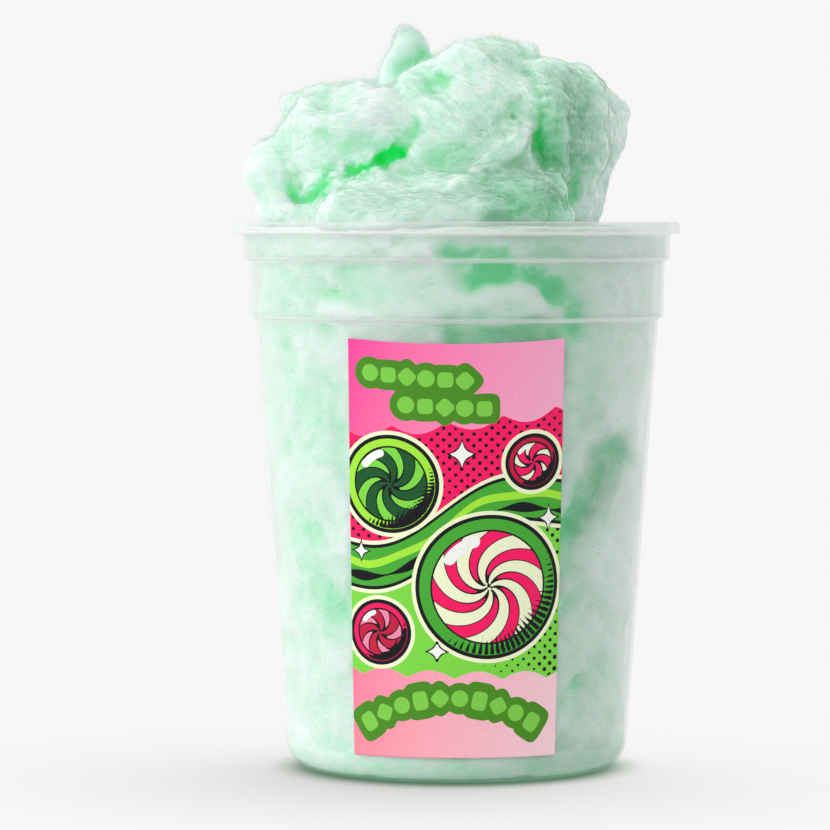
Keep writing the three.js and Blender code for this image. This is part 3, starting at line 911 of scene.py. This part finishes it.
def settle(mesh):
    """Presses the lowest candy into the foot, just into the plastic, and levels it along the mouth."""
    points = read_points(mesh)
    radius = from_axis(points)
    low = points[:, 2] < FOOT_BLEND
    slope = (FOOT_BLEND - FOOT_LEVEL) / (FOOT_BLEND - FOOT_FLAT)
    pressed = FOOT_LEVEL + np.maximum(points[:, 2] - FOOT_FLAT, 0) * slope
    points[:, 2] = np.where(low, pressed, points[:, 2])
    room = np.maximum(inner_radius(points[:, 2]), CORNER_START_RADIUS - CORNER_RADIUS)
    share = rise(points[:, 2], *PRESSED_DOWN) * rise(radius / room, *PRESSED_OUT)
    wider = radius + share * np.maximum(room + REACH_INTO_WALL - radius, 0)
    wider = np.minimum(wider, room + np.where(points[:, 2] < 12, REACH_INTO_WALL, -WALL_CLEARANCE))
    scaled_out(points, wider, radius)
    rim = rise(radius, *LEVEL_OUT) * rise(points[:, 2], *LEVEL_UP)
    points[:, 2] += rim * (np.minimum(points[:, 2], SHOULDER) - points[:, 2])
    torn = 1.5 * np.abs(soft_noise(points, 9, 81)) + 1.2 * np.abs(soft_noise(points, 4, 82)) - 0.6
    points[:, 2] -= torn * rise(points[:, 2], *TORN_UP) * rise(room - radius, *TORN_IN)
    write_points(mesh, points)


def keep_inside(mesh):
    """Draws in what would stand into the tub's wall or rim."""
    points = read_points(mesh)
    radius = from_axis(points)
    room = inner_radius(points[:, 2]) - WALL_CLEARANCE
    out = (points[:, 2] < HEIGHT + 0.4) & (radius > room)
    points[out, :2] *= (room[out] / radius[out])[:, None]
    write_points(mesh, points)


def detail_candy(mesh, edges, deep, winding, clumps=CLUMP_DEPTH, crumple=HEAP_CRUMPLE):
    """Adds the clumps and fibre streaks, and stores what the material needs, with painted shade in shut-in
    places.
    """
    points = read_points(mesh)
    normals = read_normals(mesh)
    warp = noise_vectors(points, 11, (1, 2, 3)) + 0.5 * noise_vectors(points, 5, (4, 5, 6))
    moved = points + 1.3 * warp
    strand, flow = winding(moved)
    streak = 1 - np.abs(soft_noise(strand, 1.5, 7)) - np.abs(soft_noise(strand, 0.8, 8)) * 0.5
    clump = layered_noise(points, 5.5, 3, 12)
    crinkle = -np.abs(soft_noise(moved, 3.4, 15)) - 0.6 * np.abs(soft_noise(moved, 1.8, 16))
    moved = moved + normals * (STREAK_DEPTH * streak + clumps * clump + crumple * crinkle)[:, None]
    write_points(mesh, moved)
    normals = read_normals(mesh)
    hollow = np.sum((relax(moved, edges, 60) - moved) * normals, axis=1)
    fine = np.sum((relax(moved, edges, 8) - moved) * normals, axis=1)
    # Painted shade: greener where the candy is shut in, in hollows and along the crevice strokes.
    green = relax(shelter_of(mesh), edges, 4) + HOLLOW_GREEN * np.maximum(hollow, -1.6)
    store(mesh, "green", green + CREVICE_GREEN * deep)
    store(mesh, "fine", fine / 0.4)
    store(mesh, "strand", strand)
    store(mesh, "flow", flow)


# ---- label print ----
# Flat shapes on the film, in millimetres across from its middle and up from its foot.

BLACK = (0.004, 0.005, 0.008)
CREAM = (0.93, 0.98, 0.66)
WHITE = (0.95, 0.97, 0.93)
CRIMSON = (1.0, 0.0, 0.125)
RUBY = (0.58, 0.003, 0.05)
ROSE = (0.96, 0.26, 0.42)
LIME = (0.21, 0.72, 0.055)
ACID = (0.38, 0.85, 0.04)
LEAF = (0.06, 0.42, 0.03)
PINE = (0.006, 0.10, 0.02)
PLAQUE = (0.066, 0.27, 0.010)
BEAD = (0.21, 0.63, 0.065)

# Round sweets: centre, radius, number of arms, how far the arms wind, and three colours.
SWEETS = {
    "big": ((8.5, 44), 17.5, 7, 1.9, (CRIMSON, CREAM, LEAF)),
    "middle": ((-16.5, 70), 11.5, 6, -1.7, (LIME, PINE, ACID)),
    "small": ((19.5, 75.5), 6.2, 5, 1.5, (CREAM, CRIMSON, RUBY)),
    "low": ((-19.5, 32), 7.4, 5, -1.4, (ROSE, RUBY, CRIMSON)),
}
SPARKLES = [((1.5, 78), 4.2), ((-4.5, 27.5), 3.2), ((24.0, 61), 3.2), ((-24.5, 52.5), 2.6)]
RIBBON_HALF = 4.6
# Rows of beads where a name would stand: the first bead's place, the number of beads and their spacing.
TITLE_ROWS = [((-21.6, 97.9), 6, (4.75, -0.25)), ((-12.4, 90.3), 5, (4.85, -0.2))]
BEAD_SIZE = 2.15
BEAD_RIM = 1.95
ARCH_CENTRE = (-1.2, -23)
ARCH_RADIUS = 38.5
ARCH_BEADS = 10
ARCH_HALF_ANGLE = 34
DOT_PITCH = 2.1


def disc(u, v, centre, radius):
    return np.hypot(u - centre[0], v - centre[1]) - radius


def squarish(u, v, centre, size, turn=0.0):
    """A block with soft corners and the given half width and half height."""
    x, y = u - centre[0], v - centre[1]
    across = np.abs(math.cos(turn) * x + math.sin(turn) * y) / size[0]
    up = np.abs(math.cos(turn) * y - math.sin(turn) * x) / size[1]
    return ((across ** 4 + up ** 4) ** 0.25 - 1) * min(size)


def sparkle(u, v, centre, size):
    """A star with four long points."""
    x, y = np.abs(u - centre[0]), np.abs(v - centre[1])
    return (np.sqrt(x) + np.sqrt(y)) ** 2 * 0.72 - 0.72 * size


def inside(*shapes):
    return np.maximum.reduce(shapes)


def either(*shapes):
    return np.minimum.reduce(shapes)


def bead(u, v, centre, number, size, tall=1.0, turn=0.0):
    """One bead: round, square and diamond by turns."""
    if number % 3 == 0:
        return disc(u, v, centre, size)
    if number % 3 == 1:
        return squarish(u, v, centre, (0.9 * size, 0.9 * size * tall), turn)
    return squarish(u, v, centre, (0.9 * size, 0.9 * size), turn + math.pi / 4)


def sweet(u, v, name):
    """The outline, the arms, the shading strokes and the shine of one round sweet."""
    centre, radius, arms, wind, _ = SWEETS[name]
    x, y = u - centre[0], v - centre[1]
    reach = np.hypot(x, y)
    angle = np.arctan2(y, x)
    outline = reach - radius
    arm = reach * np.sin(arms * (angle + wind * reach / radius)) / arms
    stroke = np.abs((angle * 34 / math.pi + 0.2 * np.sin(5 * angle)) % 1 - 0.5) * math.pi / 34 * radius
    lower = np.cos(angle + 0.9)
    shaded = (reach / radius - 0.98 + 0.42 * np.clip(lower, 0, 1)) * 2.2
    shading = stroke - 0.85 * np.clip(shaded, -0.6, 0.62)
    bent = np.abs(reach - 0.70 * radius)
    arc = np.abs((angle - 2.2 + math.pi) % (2 * math.pi) - math.pi) * 0.70 * radius
    shine = np.hypot(np.maximum(arc - 0.22 * radius, 0), bent) - 0.085 * radius
    return {
        name: outline,
        name + "_arms": inside(arm, outline + 0.16 * radius),
        name + "_band": np.abs(outline + 0.08 * radius) - 0.08 * radius,
        name + "_strokes": inside(shading, outline + 0.1),
        name + "_shine": shine,
    }


def label_shapes(u, v):
    """Signed distances to every printed shape, below zero inside it, at each point of the film."""
    top = 86.5 - 2.6 * np.abs(np.sin(u / 4.4 + 0.5)) + 0.10 * u
    foot = 20.5 + 2.0 * np.abs(np.sin(u / 3.9)) - 0.02 * u
    panel = inside(foot - v, v - top)
    along = (v - (58.5 + 0.30 * u + 4.2 * np.sin(u / 8.5 + 0.4))) / 1.1
    shapes = {
        "panel": panel,
        "lime_field": inside(panel, along),
        "ribbon": inside(panel, np.abs(along) - RIBBON_HALF),
        "ribbon_light": inside(panel, np.abs(along - 1.1 - 0.5 * np.sin(u / 3)) - 0.9),
        "ribbon_dark": inside(panel, np.abs(along + 2.1) - (0.7 + 0.5 * np.sin(u / 2.2))),
    }
    for name in SWEETS:
        shapes.update(sweet(u, v, name))
    shapes["sparkles"] = either(*[sparkle(u, v, centre, size) for centre, size in SPARKLES])
    title = []
    for (x, y), count, (right, up) in TITLE_ROWS:
        for number in range(count):
            title.append(bead(u, v, (x + number * right, y + number * up), number, BEAD_SIZE))
    shapes["title_beads"] = either(*title)
    arch = []
    for number in range(ARCH_BEADS):
        angle = math.radians(90 + ARCH_HALF_ANGLE * (1 - 2 * number / (ARCH_BEADS - 1)))
        x = ARCH_CENTRE[0] + ARCH_RADIUS * math.cos(angle)
        y = ARCH_CENTRE[1] + ARCH_RADIUS * math.sin(angle)
        arch.append(bead(u, v, (x, y), number + 1, BEAD_SIZE, 1.25, angle - math.pi / 2))
    shapes["arch_beads"] = either(*arch)
    gap = np.minimum(along - RIBBON_HALF, 2.0) * 0.25
    red_dots = 0.50 + 0.13 * np.sin(u / 9 + v / 12)
    lime_dots = 0.62 * np.clip((u - 4) / 26 + 0.25 * np.sin(v / 9), 0, 1)
    shapes["dot_size"] = np.where(along > 0, np.minimum(red_dots, gap), lime_dots)
    shapes["dot_size"] = np.where(panel < -0.4, shapes["dot_size"], -0.3)
    return shapes


# Inks in the order they are printed: the shape, how far past its outline, and the colour.
INKS = [
    ("panel", 0.0, CRIMSON),
    ("lime_field", 0.0, LIME),
    ("dots", 0.0, BLACK),
    ("ribbon", 1.5, CREAM),
    ("ribbon", 0.6, BLACK),
    ("ribbon", -0.2, LEAF),
    ("ribbon_light", 0.0, ACID),
    ("ribbon_dark", 0.0, BLACK),
]
for name, (_, _, _, _, colours) in SWEETS.items():
    INKS += [
        (name, 2.0, CREAM),
        (name, 1.0, BLACK),
        (name, 0.0, colours[0]),
        (name + "_arms", 0.4, BLACK),
        (name + "_arms", 0.0, colours[1]),
        (name + "_band", 0.45, BLACK),
        (name + "_band", 0.0, colours[2]),
        (name + "_strokes", 0.0, BLACK),
        (name + "_shine", 0.0, WHITE),
    ]
INKS += [
    ("sparkles", 0.9, BLACK),
    ("sparkles", 0.1, WHITE),
    ("title_beads", BEAD_RIM, PLAQUE),
    ("title_beads", 0.0, BEAD),
    ("arch_beads", BEAD_RIM, PLAQUE),
    ("arch_beads", 0.0, BEAD),
]

# The film on the wall: heights, then half widths and turns round the tub's axis, in degrees.
LABEL_BOTTOM = 7.5
LABEL_TOP = 113.2
LABEL_TOP_RISE = 1.3  # how much higher its corners stand than the middle of its top edge
LABEL_TOP_HALF = 30.9
LABEL_BOTTOM_HALF = 34.2
LABEL_TOP_TURN = -0.6
LABEL_BOTTOM_TURN = -1.2
LABEL_GAP = 0.3
LABEL_THICKNESS = 0.3
PRINT_HALF_WIDTH = 27.6
PRINT_HEIGHT = 106.0
PRINT_CELL = 0.45  # the spacing of the points that carry the print


def film_points(u, v, lift):
    """Bends flat places on the film round the tub's wall."""
    across, up = u / PRINT_HALF_WIDTH, v / PRINT_HEIGHT
    z = LABEL_BOTTOM + (LABEL_TOP + LABEL_TOP_RISE * across ** 2 - LABEL_BOTTOM) * up
    half = LABEL_BOTTOM_HALF + (LABEL_TOP_HALF - LABEL_BOTTOM_HALF) * up
    turn = LABEL_BOTTOM_TURN + (LABEL_TOP_TURN - LABEL_BOTTOM_TURN) * up
    angle = np.radians(turn + half * across)
    radius = wall_radius(z) + LABEL_GAP + lift
    return np.stack([radius * np.sin(angle), -radius * np.cos(angle), z], axis=-1).reshape(-1, 3)


def make_label(material):
    """The film: a thin curved sheet whose points carry the print's shapes."""
    columns = round(2 * PRINT_HALF_WIDTH / PRINT_CELL)
    rows = round(PRINT_HEIGHT / PRINT_CELL)
    u, v = np.meshgrid(
        np.linspace(-PRINT_HALF_WIDTH, PRINT_HALF_WIDTH, columns + 1),
        np.linspace(0, PRINT_HEIGHT, rows + 1),
    )
    points = np.concatenate([film_points(u, v, LABEL_THICKNESS), film_points(u, v, 0)])
    number = np.arange(u.size).reshape(u.shape)
    corner = number[:-1, :-1].ravel()
    front = np.stack([corner, corner + 1, corner + columns + 2, corner + columns + 1], axis=1)
    back = front[:, ::-1] + u.size
    rim = np.concatenate([number[0, :-1], number[:-1, -1], number[-1, :0:-1], number[:0:-1, 0]])
    after = np.roll(rim, -1)
    edge = np.stack([rim, rim + u.size, after + u.size, after], axis=1)
    film = mesh_object("label_print", points, np.concatenate([front, back, edge]))
    for name, values in dict(label_shapes(u, v), across=u, up=v).items():
        store(film.data, name, np.tile(values.ravel(), 2))
    finish_piece(film, "label_film", material, "label")
    return film


# ---- materials ----

class Nodes:
    """A material's node tree, with short calls to add and join its nodes."""

    def __init__(self, name, world_tree=None):
        if world_tree is None:
            self.material = bpy.data.materials.new(name)
            self.material.use_nodes = True
        self.tree = world_tree or self.material.node_tree
        self.tree.nodes.clear()
        self.output = self.tree.nodes.new("ShaderNodeOutput" + ("World" if world_tree else "Material"))

    def add(self, kind, inputs=None, **settings):
        node = self.tree.nodes.new("ShaderNode" + kind)
        for key, value in settings.items():
            setattr(node, key, value)
        for key, value in (inputs or {}).items():
            socket = node.inputs[key]
            if isinstance(value, bpy.types.NodeSocket):
                self.tree.links.new(value, socket)
            else:
                socket.default_value = value
        return node

    def attribute(self, name, output="Fac"):
        return self.add("Attribute", attribute_name=name).outputs[output]

    def ramp(self, value, stops):
        node = self.add("ValToRGB", {"Fac": value})
        elements = node.color_ramp.elements
        while len(elements) < len(stops):
            elements.new(0.5)
        for element, (position, colour) in zip(elements, stops):
            element.position = position
            element.color = (*colour, 1)
        return node.outputs["Color"]

    def math(self, operation, first, second=0.0, third=0.0, clamp=False):
        node = self.add("Math", {0: first, 1: second, 2: third}, operation=operation, use_clamp=clamp)
        return node.outputs["Value"]

    def centred(self, value, amount):
        """A texture's value, moved to lie round zero and scaled."""
        return self.math("MULTIPLY", self.math("SUBTRACT", value, 0.5), amount)

    def place(self, space="Object"):
        return self.add("TexCoord").outputs[space]

    def bump(self, height, strength, distance):
        node = self.add("Bump", {"Height": height, "Strength": strength, "Distance": distance})
        return node.outputs["Normal"]

    def noise(self, place, scale, detail, **inputs):
        named = {key.capitalize(): value for key, value in inputs.items()}
        node = self.add("TexNoise", {"Vector": place, "Scale": scale, "Detail": detail, **named})
        return node.outputs["Fac"]

    def fade(self, value, start, end, first, last, **settings):
        """One number up to the start and another from the end on, with a slope between them."""
        inputs = {"Value": value, "From Min": start, "From Max": end, "To Min": first, "To Max": last}
        return self.add("MapRange", inputs, **settings).outputs["Result"]

    def blend(self, share, first, second):
        """Two shaders mixed, with the given share of the second."""
        return self.add("MixShader", {0: share, 1: first.outputs[0], 2: second.outputs[0]})

    def mix(self, factor, first, second, blend="MIX"):
        node = self.add("Mix", data_type="RGBA", blend_type=blend)
        for socket, value in zip((node.inputs[0], node.inputs[6], node.inputs[7]), (factor, first, second)):
            if isinstance(value, bpy.types.NodeSocket):
                self.tree.links.new(value, socket)
            else:
                socket.default_value = value if isinstance(value, float) else (*value, 1)
        return node.outputs[2]

    def finish(self, shader):
        self.tree.links.new(shader, self.output.inputs["Surface"])
        return getattr(self, "material", None)


def tub_haze(nodes, place, height):
    """How much of the light the plastic stops: more edge on, in its foot, its steps and its flange."""
    tilt = nodes.add("LayerWeight", {"Blend": 0.5}).outputs["Facing"]
    cover = nodes.math("MULTIPLY", nodes.math("POWER", tilt, TUB_EDGE_POWER), TUB_EDGE)
    cover = nodes.math("MULTIPLY", cover, nodes.fade(height, 0.0, FOOT_EDGE_RISE * MM, FOOT_EDGE, 1.0))
    cover = nodes.math("ADD", cover, nodes.fade(height, 0.0, SOLE * MM, SOLE_COVER, 0.0))
    flange = HEIGHT - RIM_HEIGHT
    flange_fade = nodes.fade(height, (flange - FLANGE_FADE) * MM, flange * MM, 0.0, FLANGE_COVER)
    cover = nodes.math("ADD", cover, flange_fade)
    for ring in (flange, COLLAR_FOOT - SHELF / 2, BAND_FOOT - SHELF / 2):
        off = nodes.math("ABSOLUTE", nodes.math("SUBTRACT", height, ring * MM))
        band = nodes.fade(off, RING_HALF * MM, RING_FADE * MM, RING_COVER, 0.0)
        cover = nodes.math("ADD", cover, band)
    mottle = nodes.noise(place, 60.0, 4.0)
    mottle = nodes.math("MULTIPLY_ADD", nodes.noise(place, 5000.0, 1.0), TUB_GRAIN, mottle)
    even = TUB_COVER - TUB_MOTTLE / 2 * (1 + TUB_GRAIN)
    return nodes.math("ADD", cover, nodes.math("MULTIPLY_ADD", mottle, TUB_MOTTLE, even), clamp=True)


def tub_material():
    """Milky polypropylene: a pale haze that thickens where the wall is seen edge on."""
    nodes = Nodes("milky_plastic")
    place = nodes.place()
    height = nodes.add("SeparateXYZ", {"Vector": place}).outputs["Z"]
    haze = tub_haze(nodes, place, height)
    bump = nodes.bump(nodes.noise(place, 22.0, 2.0), 0.07, 0.001)
    # The plastic's own colour, with painted shade that darkens it to green towards the bottom of the foot.
    milk_with_foot_shade = nodes.ramp(nodes.math("DIVIDE", height, PAINTED_FOOT_SHADE_TOP * MM, clamp=True), [
        (0.0, (0.10, 0.33, 0.15)),
        (0.1, (0.24, 0.50, 0.32)),
        (0.25, (0.50, 0.72, 0.58)),
        (0.66, (0.72, 0.82, 0.77)),
        (1.0, (0.875, 0.90, 0.89)),
    ])
    front = nodes.add("BsdfPrincipled", {
        "Base Color": milk_with_foot_shade,
        "Roughness": 0.26,
        "IOR": 1.49,
        "Specular IOR Level": 0.8,
        "Normal": bump,
    })
    through = nodes.add("BsdfTranslucent", {"Color": milk_with_foot_shade, "Normal": bump})
    milky = nodes.blend(0.2, front, through)
    clear = nodes.add("BsdfTransparent", {"Color": (1, 1, 1, 1)})
    leaving = nodes.add("NewGeometry").outputs["Backfacing"]
    haze = nodes.math("MULTIPLY", haze, nodes.math("SUBTRACT", 1.0, leaving))
    return nodes.finish(nodes.blend(haze, clear, milky).outputs[0])


# The colour that full painted shade multiplies the sugar's colour by.
PAINTED_SHADE_TINT = (0.38, 0.48, 0.42)
THIN_LIGHT = 0.95  # share of the light that a wisp lets through


def sugar(nodes, colour, share, bump, soft):
    """Matt sugar, darker where painted shade is stored, which lets a share of the light through."""
    colour = nodes.mix(nodes.attribute("painted_shade"), colour, PAINTED_SHADE_TINT, "MULTIPLY")
    matt = {"Base Color": colour, "Roughness": 0.9, "Specular IOR Level": 0.1}
    front = nodes.add("BsdfPrincipled", {**matt, **soft, **bump})
    through = nodes.add("BsdfTranslucent", {"Color": colour, **bump})
    return nodes.finish(nodes.blend(share, front, through).outputs[0])


def candy_material(name, scatter, fray, grain, deepest):
    """Spun sugar.

    Takes how far light spreads in it, in metres, how streaky its green is, how strong its fine grain is
    and the two greens of its deepest painted shade.
    """
    nodes = Nodes(name)
    strand = nodes.attribute("strand", "Vector")
    streaks = nodes.noise(strand, 1.6, 4.0, roughness=0.6)
    place = nodes.place()
    clumps = nodes.noise(place, 160.0, 3.0)
    mottle = nodes.noise(place, 700.0, 3.0, roughness=0.7)
    # Painted shade in small creases and shut-in places deepens the green, with the sugar's own clumps,
    # streaks and mottle.
    depth = nodes.math("MULTIPLY_ADD", nodes.attribute("fine"), 0.13, nodes.attribute("green"))
    for texture, amount in ((clumps, 0.3), (streaks, fray), (mottle, 0.12 * grain)):
        depth = nodes.math("ADD", depth, nodes.centred(texture, amount))
    depth = nodes.math("MULTIPLY_ADD", depth, 0.8, 0.2, clamp=True)
    tones = [
        (0.0, (0.87, 0.955, 0.93)),
        (0.2, (0.76, 0.92, 0.85)),
        (0.36, (0.64, 0.89, 0.75)),
        (0.52, (0.46, 0.88, 0.61)),
        (0.72, deepest[0]),
        (1.0, deepest[1]),
    ]
    fleece = nodes.noise(place, 1100.0, 4.0, roughness=0.65, distortion=1.2)
    relief = nodes.math("ADD", nodes.math("MULTIPLY", streaks, 0.7), fleece)
    bump = {"Normal": nodes.bump(relief, 0.8 * grain, 0.0009)}
    soft = {
        "Subsurface Weight": 1.0,
        "Subsurface Radius": (0.45, 1.0, 0.65),
        "Subsurface Scale": scatter,
    }
    share = nodes.math("MULTIPLY", nodes.attribute("thin"), THIN_LIGHT)
    return sugar(nodes, nodes.ramp(depth, tones), share, bump, soft)


def thread_material():
    """Fine sugar threads, which let half of the light through."""
    nodes = Nodes("floss_thread")
    place = nodes.place()
    change = nodes.centred(nodes.noise(place, 300.0, 2.0), 0.35)
    # Greener with the painted shade of the candy under them.
    colour = nodes.ramp(nodes.math("ADD", nodes.attribute("green"), change), [
        (0.0, (0.81, 0.94, 0.88)),
        (0.2, (0.69, 0.91, 0.79)),
        (0.5, (0.36, 0.88, 0.55)),
    ])
    return sugar(nodes, colour, 0.5, {}, {})


def label_material():
    """A glossy printed film: pink fields that fade to the right, with flat inks over them."""
    nodes = Nodes("printed_film")
    across = nodes.attribute("across")
    up = nodes.attribute("up")
    shapes = {"dots": halftone(nodes, across, up)}
    rightward = nodes.math("MULTIPLY_ADD", across, 0.5 / PRINT_HALF_WIDTH, 0.5)
    upward = nodes.math("DIVIDE", up, PRINT_HEIGHT)
    left = nodes.mix(upward, (1.0, 0.25, 0.335), (1.0, 0.048, 0.335))
    right = nodes.mix(upward, (1.0, 0.70, 0.76), (1.0, 0.42, 0.63))
    colour = nodes.mix(rightward, left, right)
    for name, grow, ink in INKS:
        if name not in shapes:
            shapes[name] = nodes.attribute(name)
        colour = nodes.mix(nodes.math("LESS_THAN", shapes[name], grow), colour, ink)
    place = nodes.place()
    grain = nodes.noise(place, 1500.0, 2.0)
    shade = nodes.ramp(grain, [(0.3, (0.93, 0.93, 0.93)), (0.7, (1.0, 1.0, 1.0))])
    colour = nodes.mix(1.0, colour, shade, "MULTIPLY")
    bump = nodes.bump(nodes.noise(place, 45.0, 2.0), 0.1, 0.0006)
    shader = nodes.add("BsdfPrincipled", {
        "Base Color": colour,
        "Roughness": 0.45,
        "Specular IOR Level": 0.18,
        "Normal": bump,
    })
    return nodes.finish(shader.outputs["BSDF"])


def halftone(nodes, across, up):
    """Distance to the edge of the nearest print dot, in a square grid turned by 45 degrees."""
    step = math.sqrt(0.5) / DOT_PITCH
    first = nodes.math("MULTIPLY", nodes.math("ADD", across, up), step)
    second = nodes.math("MULTIPLY", nodes.math("SUBTRACT", across, up), step)
    cell = [nodes.math("SUBTRACT", nodes.math("FLOORED_MODULO", way, 1.0), 0.5) for way in (first, second)]
    square = nodes.math("MULTIPLY_ADD", cell[0], cell[0], nodes.math("MULTIPLY", cell[1], cell[1]))
    reach = nodes.math("MULTIPLY", nodes.math("SQRT", square), DOT_PITCH)
    return nodes.math("SUBTRACT", reach, nodes.attribute("dot_size"))


# ---- stage ----

PAPER = (0.939, 0.930, 0.922)
SHADE_REACH = 0.10  # how far from the tub the floor is shaded, in metres
SHADE_FALL = 1.35
SHADE_LEAN = (0.2, 0.6, 0.77)  # the side that the floor sees most of its light from
SHADE_DEPTH = 0.6
CONTACT_REACH = 0.008  # how far the painted green contact shadow reaches on the floor, in metres
CONTACT_FALL = 1.4
CONTACT_DEPTH = 0.85
CONTACT_SHADE_COLOUR = (0.10, 0.34, 0.14)
SKY_DIM = 0.462
ROOM_GLOSS = 0.85  # how bright the white room is in reflections
SKY_GLOWS = [  # extra strength, and the direction of the middle of each broad soft light
    (0.76, (-0.86, -0.36, 0.36)),
    (0.62, (0.8, 0.75, 0.12)),
]
KEY_STRENGTH = 0.5
KEY_ANGLE = 25  # how wide the key light looks, in degrees
KEY_FROM = (-0.85, -0.6, 0.42)
EYE = (-10.96, -1135.0, 141.9)  # the camera's place
LENS = 186.4
PITCH = 2.465  # how far it looks down, in degrees


def set_camera():
    data = bpy.data.cameras.new("camera")
    data.lens = LENS
    data.sensor_width = 36
    data.clip_start = 0.05
    data.clip_end = 50
    camera = linked("camera", data)
    camera.location = [v * MM for v in EYE]
    camera.rotation_euler = (math.radians(90 - PITCH), 0, 0)
    bpy.context.scene.camera = camera


def make_floor():
    """A pale floor with painted shade round the tub and a painted green contact shadow close to it."""
    nodes = Nodes("studio_floor")
    lean = nodes.add("CombineXYZ", dict(zip("XYZ", SHADE_LEAN))).outputs["Vector"]
    open_sky = nodes.add("AmbientOcclusion", {"Distance": SHADE_REACH, "Normal": lean}, samples=16)
    shade = nodes.math("POWER", nodes.math("SUBTRACT", 1.0, open_sky.outputs["AO"], clamp=True), SHADE_FALL)
    strength = nodes.math("SUBTRACT", 1.0, nodes.math("MULTIPLY", shade, SHADE_DEPTH))
    close = nodes.add("AmbientOcclusion", {"Distance": CONTACT_REACH}, samples=16)
    contact_shade = nodes.math("SUBTRACT", 1.0, close.outputs["AO"], clamp=True)
    contact_shade = nodes.math("MULTIPLY", nodes.math("POWER", contact_shade, CONTACT_FALL), CONTACT_DEPTH, clamp=True)
    colour = nodes.mix(contact_shade, PAPER, CONTACT_SHADE_COLOUR)
    glow = nodes.add("Emission", {"Color": colour, "Strength": strength})
    corners = [(-3000, -3000, 0), (3000, -3000, 0), (3000, 3000, 0), (-3000, 3000, 0)]
    floor = mesh_object("floor", corners, [[0, 1, 2, 3]])
    floor.data.materials.append(nodes.finish(glow.outputs[0]))
    floor.visible_diffuse = False


def make_sky():
    """Broad soft light from the upper left and from behind, on a plain pale ground."""
    world = bpy.data.worlds.new("world")
    world.use_nodes = True
    bpy.context.scene.world = world
    nodes = Nodes("", world.node_tree)
    strength = SKY_DIM
    place = nodes.place("Generated")
    for extra, middle in SKY_GLOWS:
        direction = Vector(middle).normalized()
        toward = nodes.add("VectorMath", {0: place, 1: direction}, operation="DOT_PRODUCT")
        glow = nodes.fade(toward.outputs["Value"], -0.4, 1.0, 0.0, extra, interpolation_type="SMOOTHSTEP")
        strength = nodes.math("ADD", glow, strength)
    sky = nodes.add("Background", {"Color": (1, 1, 1, 1), "Strength": strength})
    paper = nodes.add("Background", {"Color": (*PAPER, 1)})
    room = nodes.add("Background", {"Color": (1, 1, 1, 1), "Strength": ROOM_GLOSS})
    path = nodes.add("LightPath")
    lit = nodes.blend(path.outputs["Is Glossy Ray"], sky, room)
    nodes.finish(nodes.blend(path.outputs["Is Camera Ray"], lit, paper).outputs[0])


def make_key_light():
    sun = bpy.data.lights.new("key", "SUN")
    sun.energy = KEY_STRENGTH
    sun.angle = math.radians(KEY_ANGLE)
    light = linked("key", sun)
    light.rotation_euler = (-Vector(KEY_FROM)).to_track_quat("-Z", "Y").to_euler()


def make_candy():
    """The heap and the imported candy, each with its loose threads."""
    heap = make_heap()
    spun = candy_material("spun_sugar", 0.008, 0.2, 0.5, [(0.20, 0.86, 0.38), (0.01, 0.95, 0.17)])
    finish_piece(heap, "candy_floss", spun, "candy")
    thread_finish = thread_material()
    for floss in HEAP_FLOSS:
        finish_piece(make_threads(heap, HEAP_LEVEL, *floss), "candy_floss", thread_finish, "candy")
    packed = make_packed()
    threads = make_threads(packed, MOUTH_LEVEL, *MOUTH_FLOSS)
    finish_piece(threads, "candy_floss", thread_finish, "candy")
    pressed = candy_material("packed_sugar", 0.002, 0.5, 0.4, [(0.18, 0.80, 0.42), (0.02, 0.74, 0.25)])
    finish_piece(packed, "candy_floss", pressed, "candy")


set_camera()
make_floor()
make_sky()
make_key_light()
make_tub(tub_material())
make_label(label_material())
make_candy()
bpy.context.scene.cycles.transparent_max_bounces = 32
bpy.context.scene.view_settings.view_transform = "Standard"
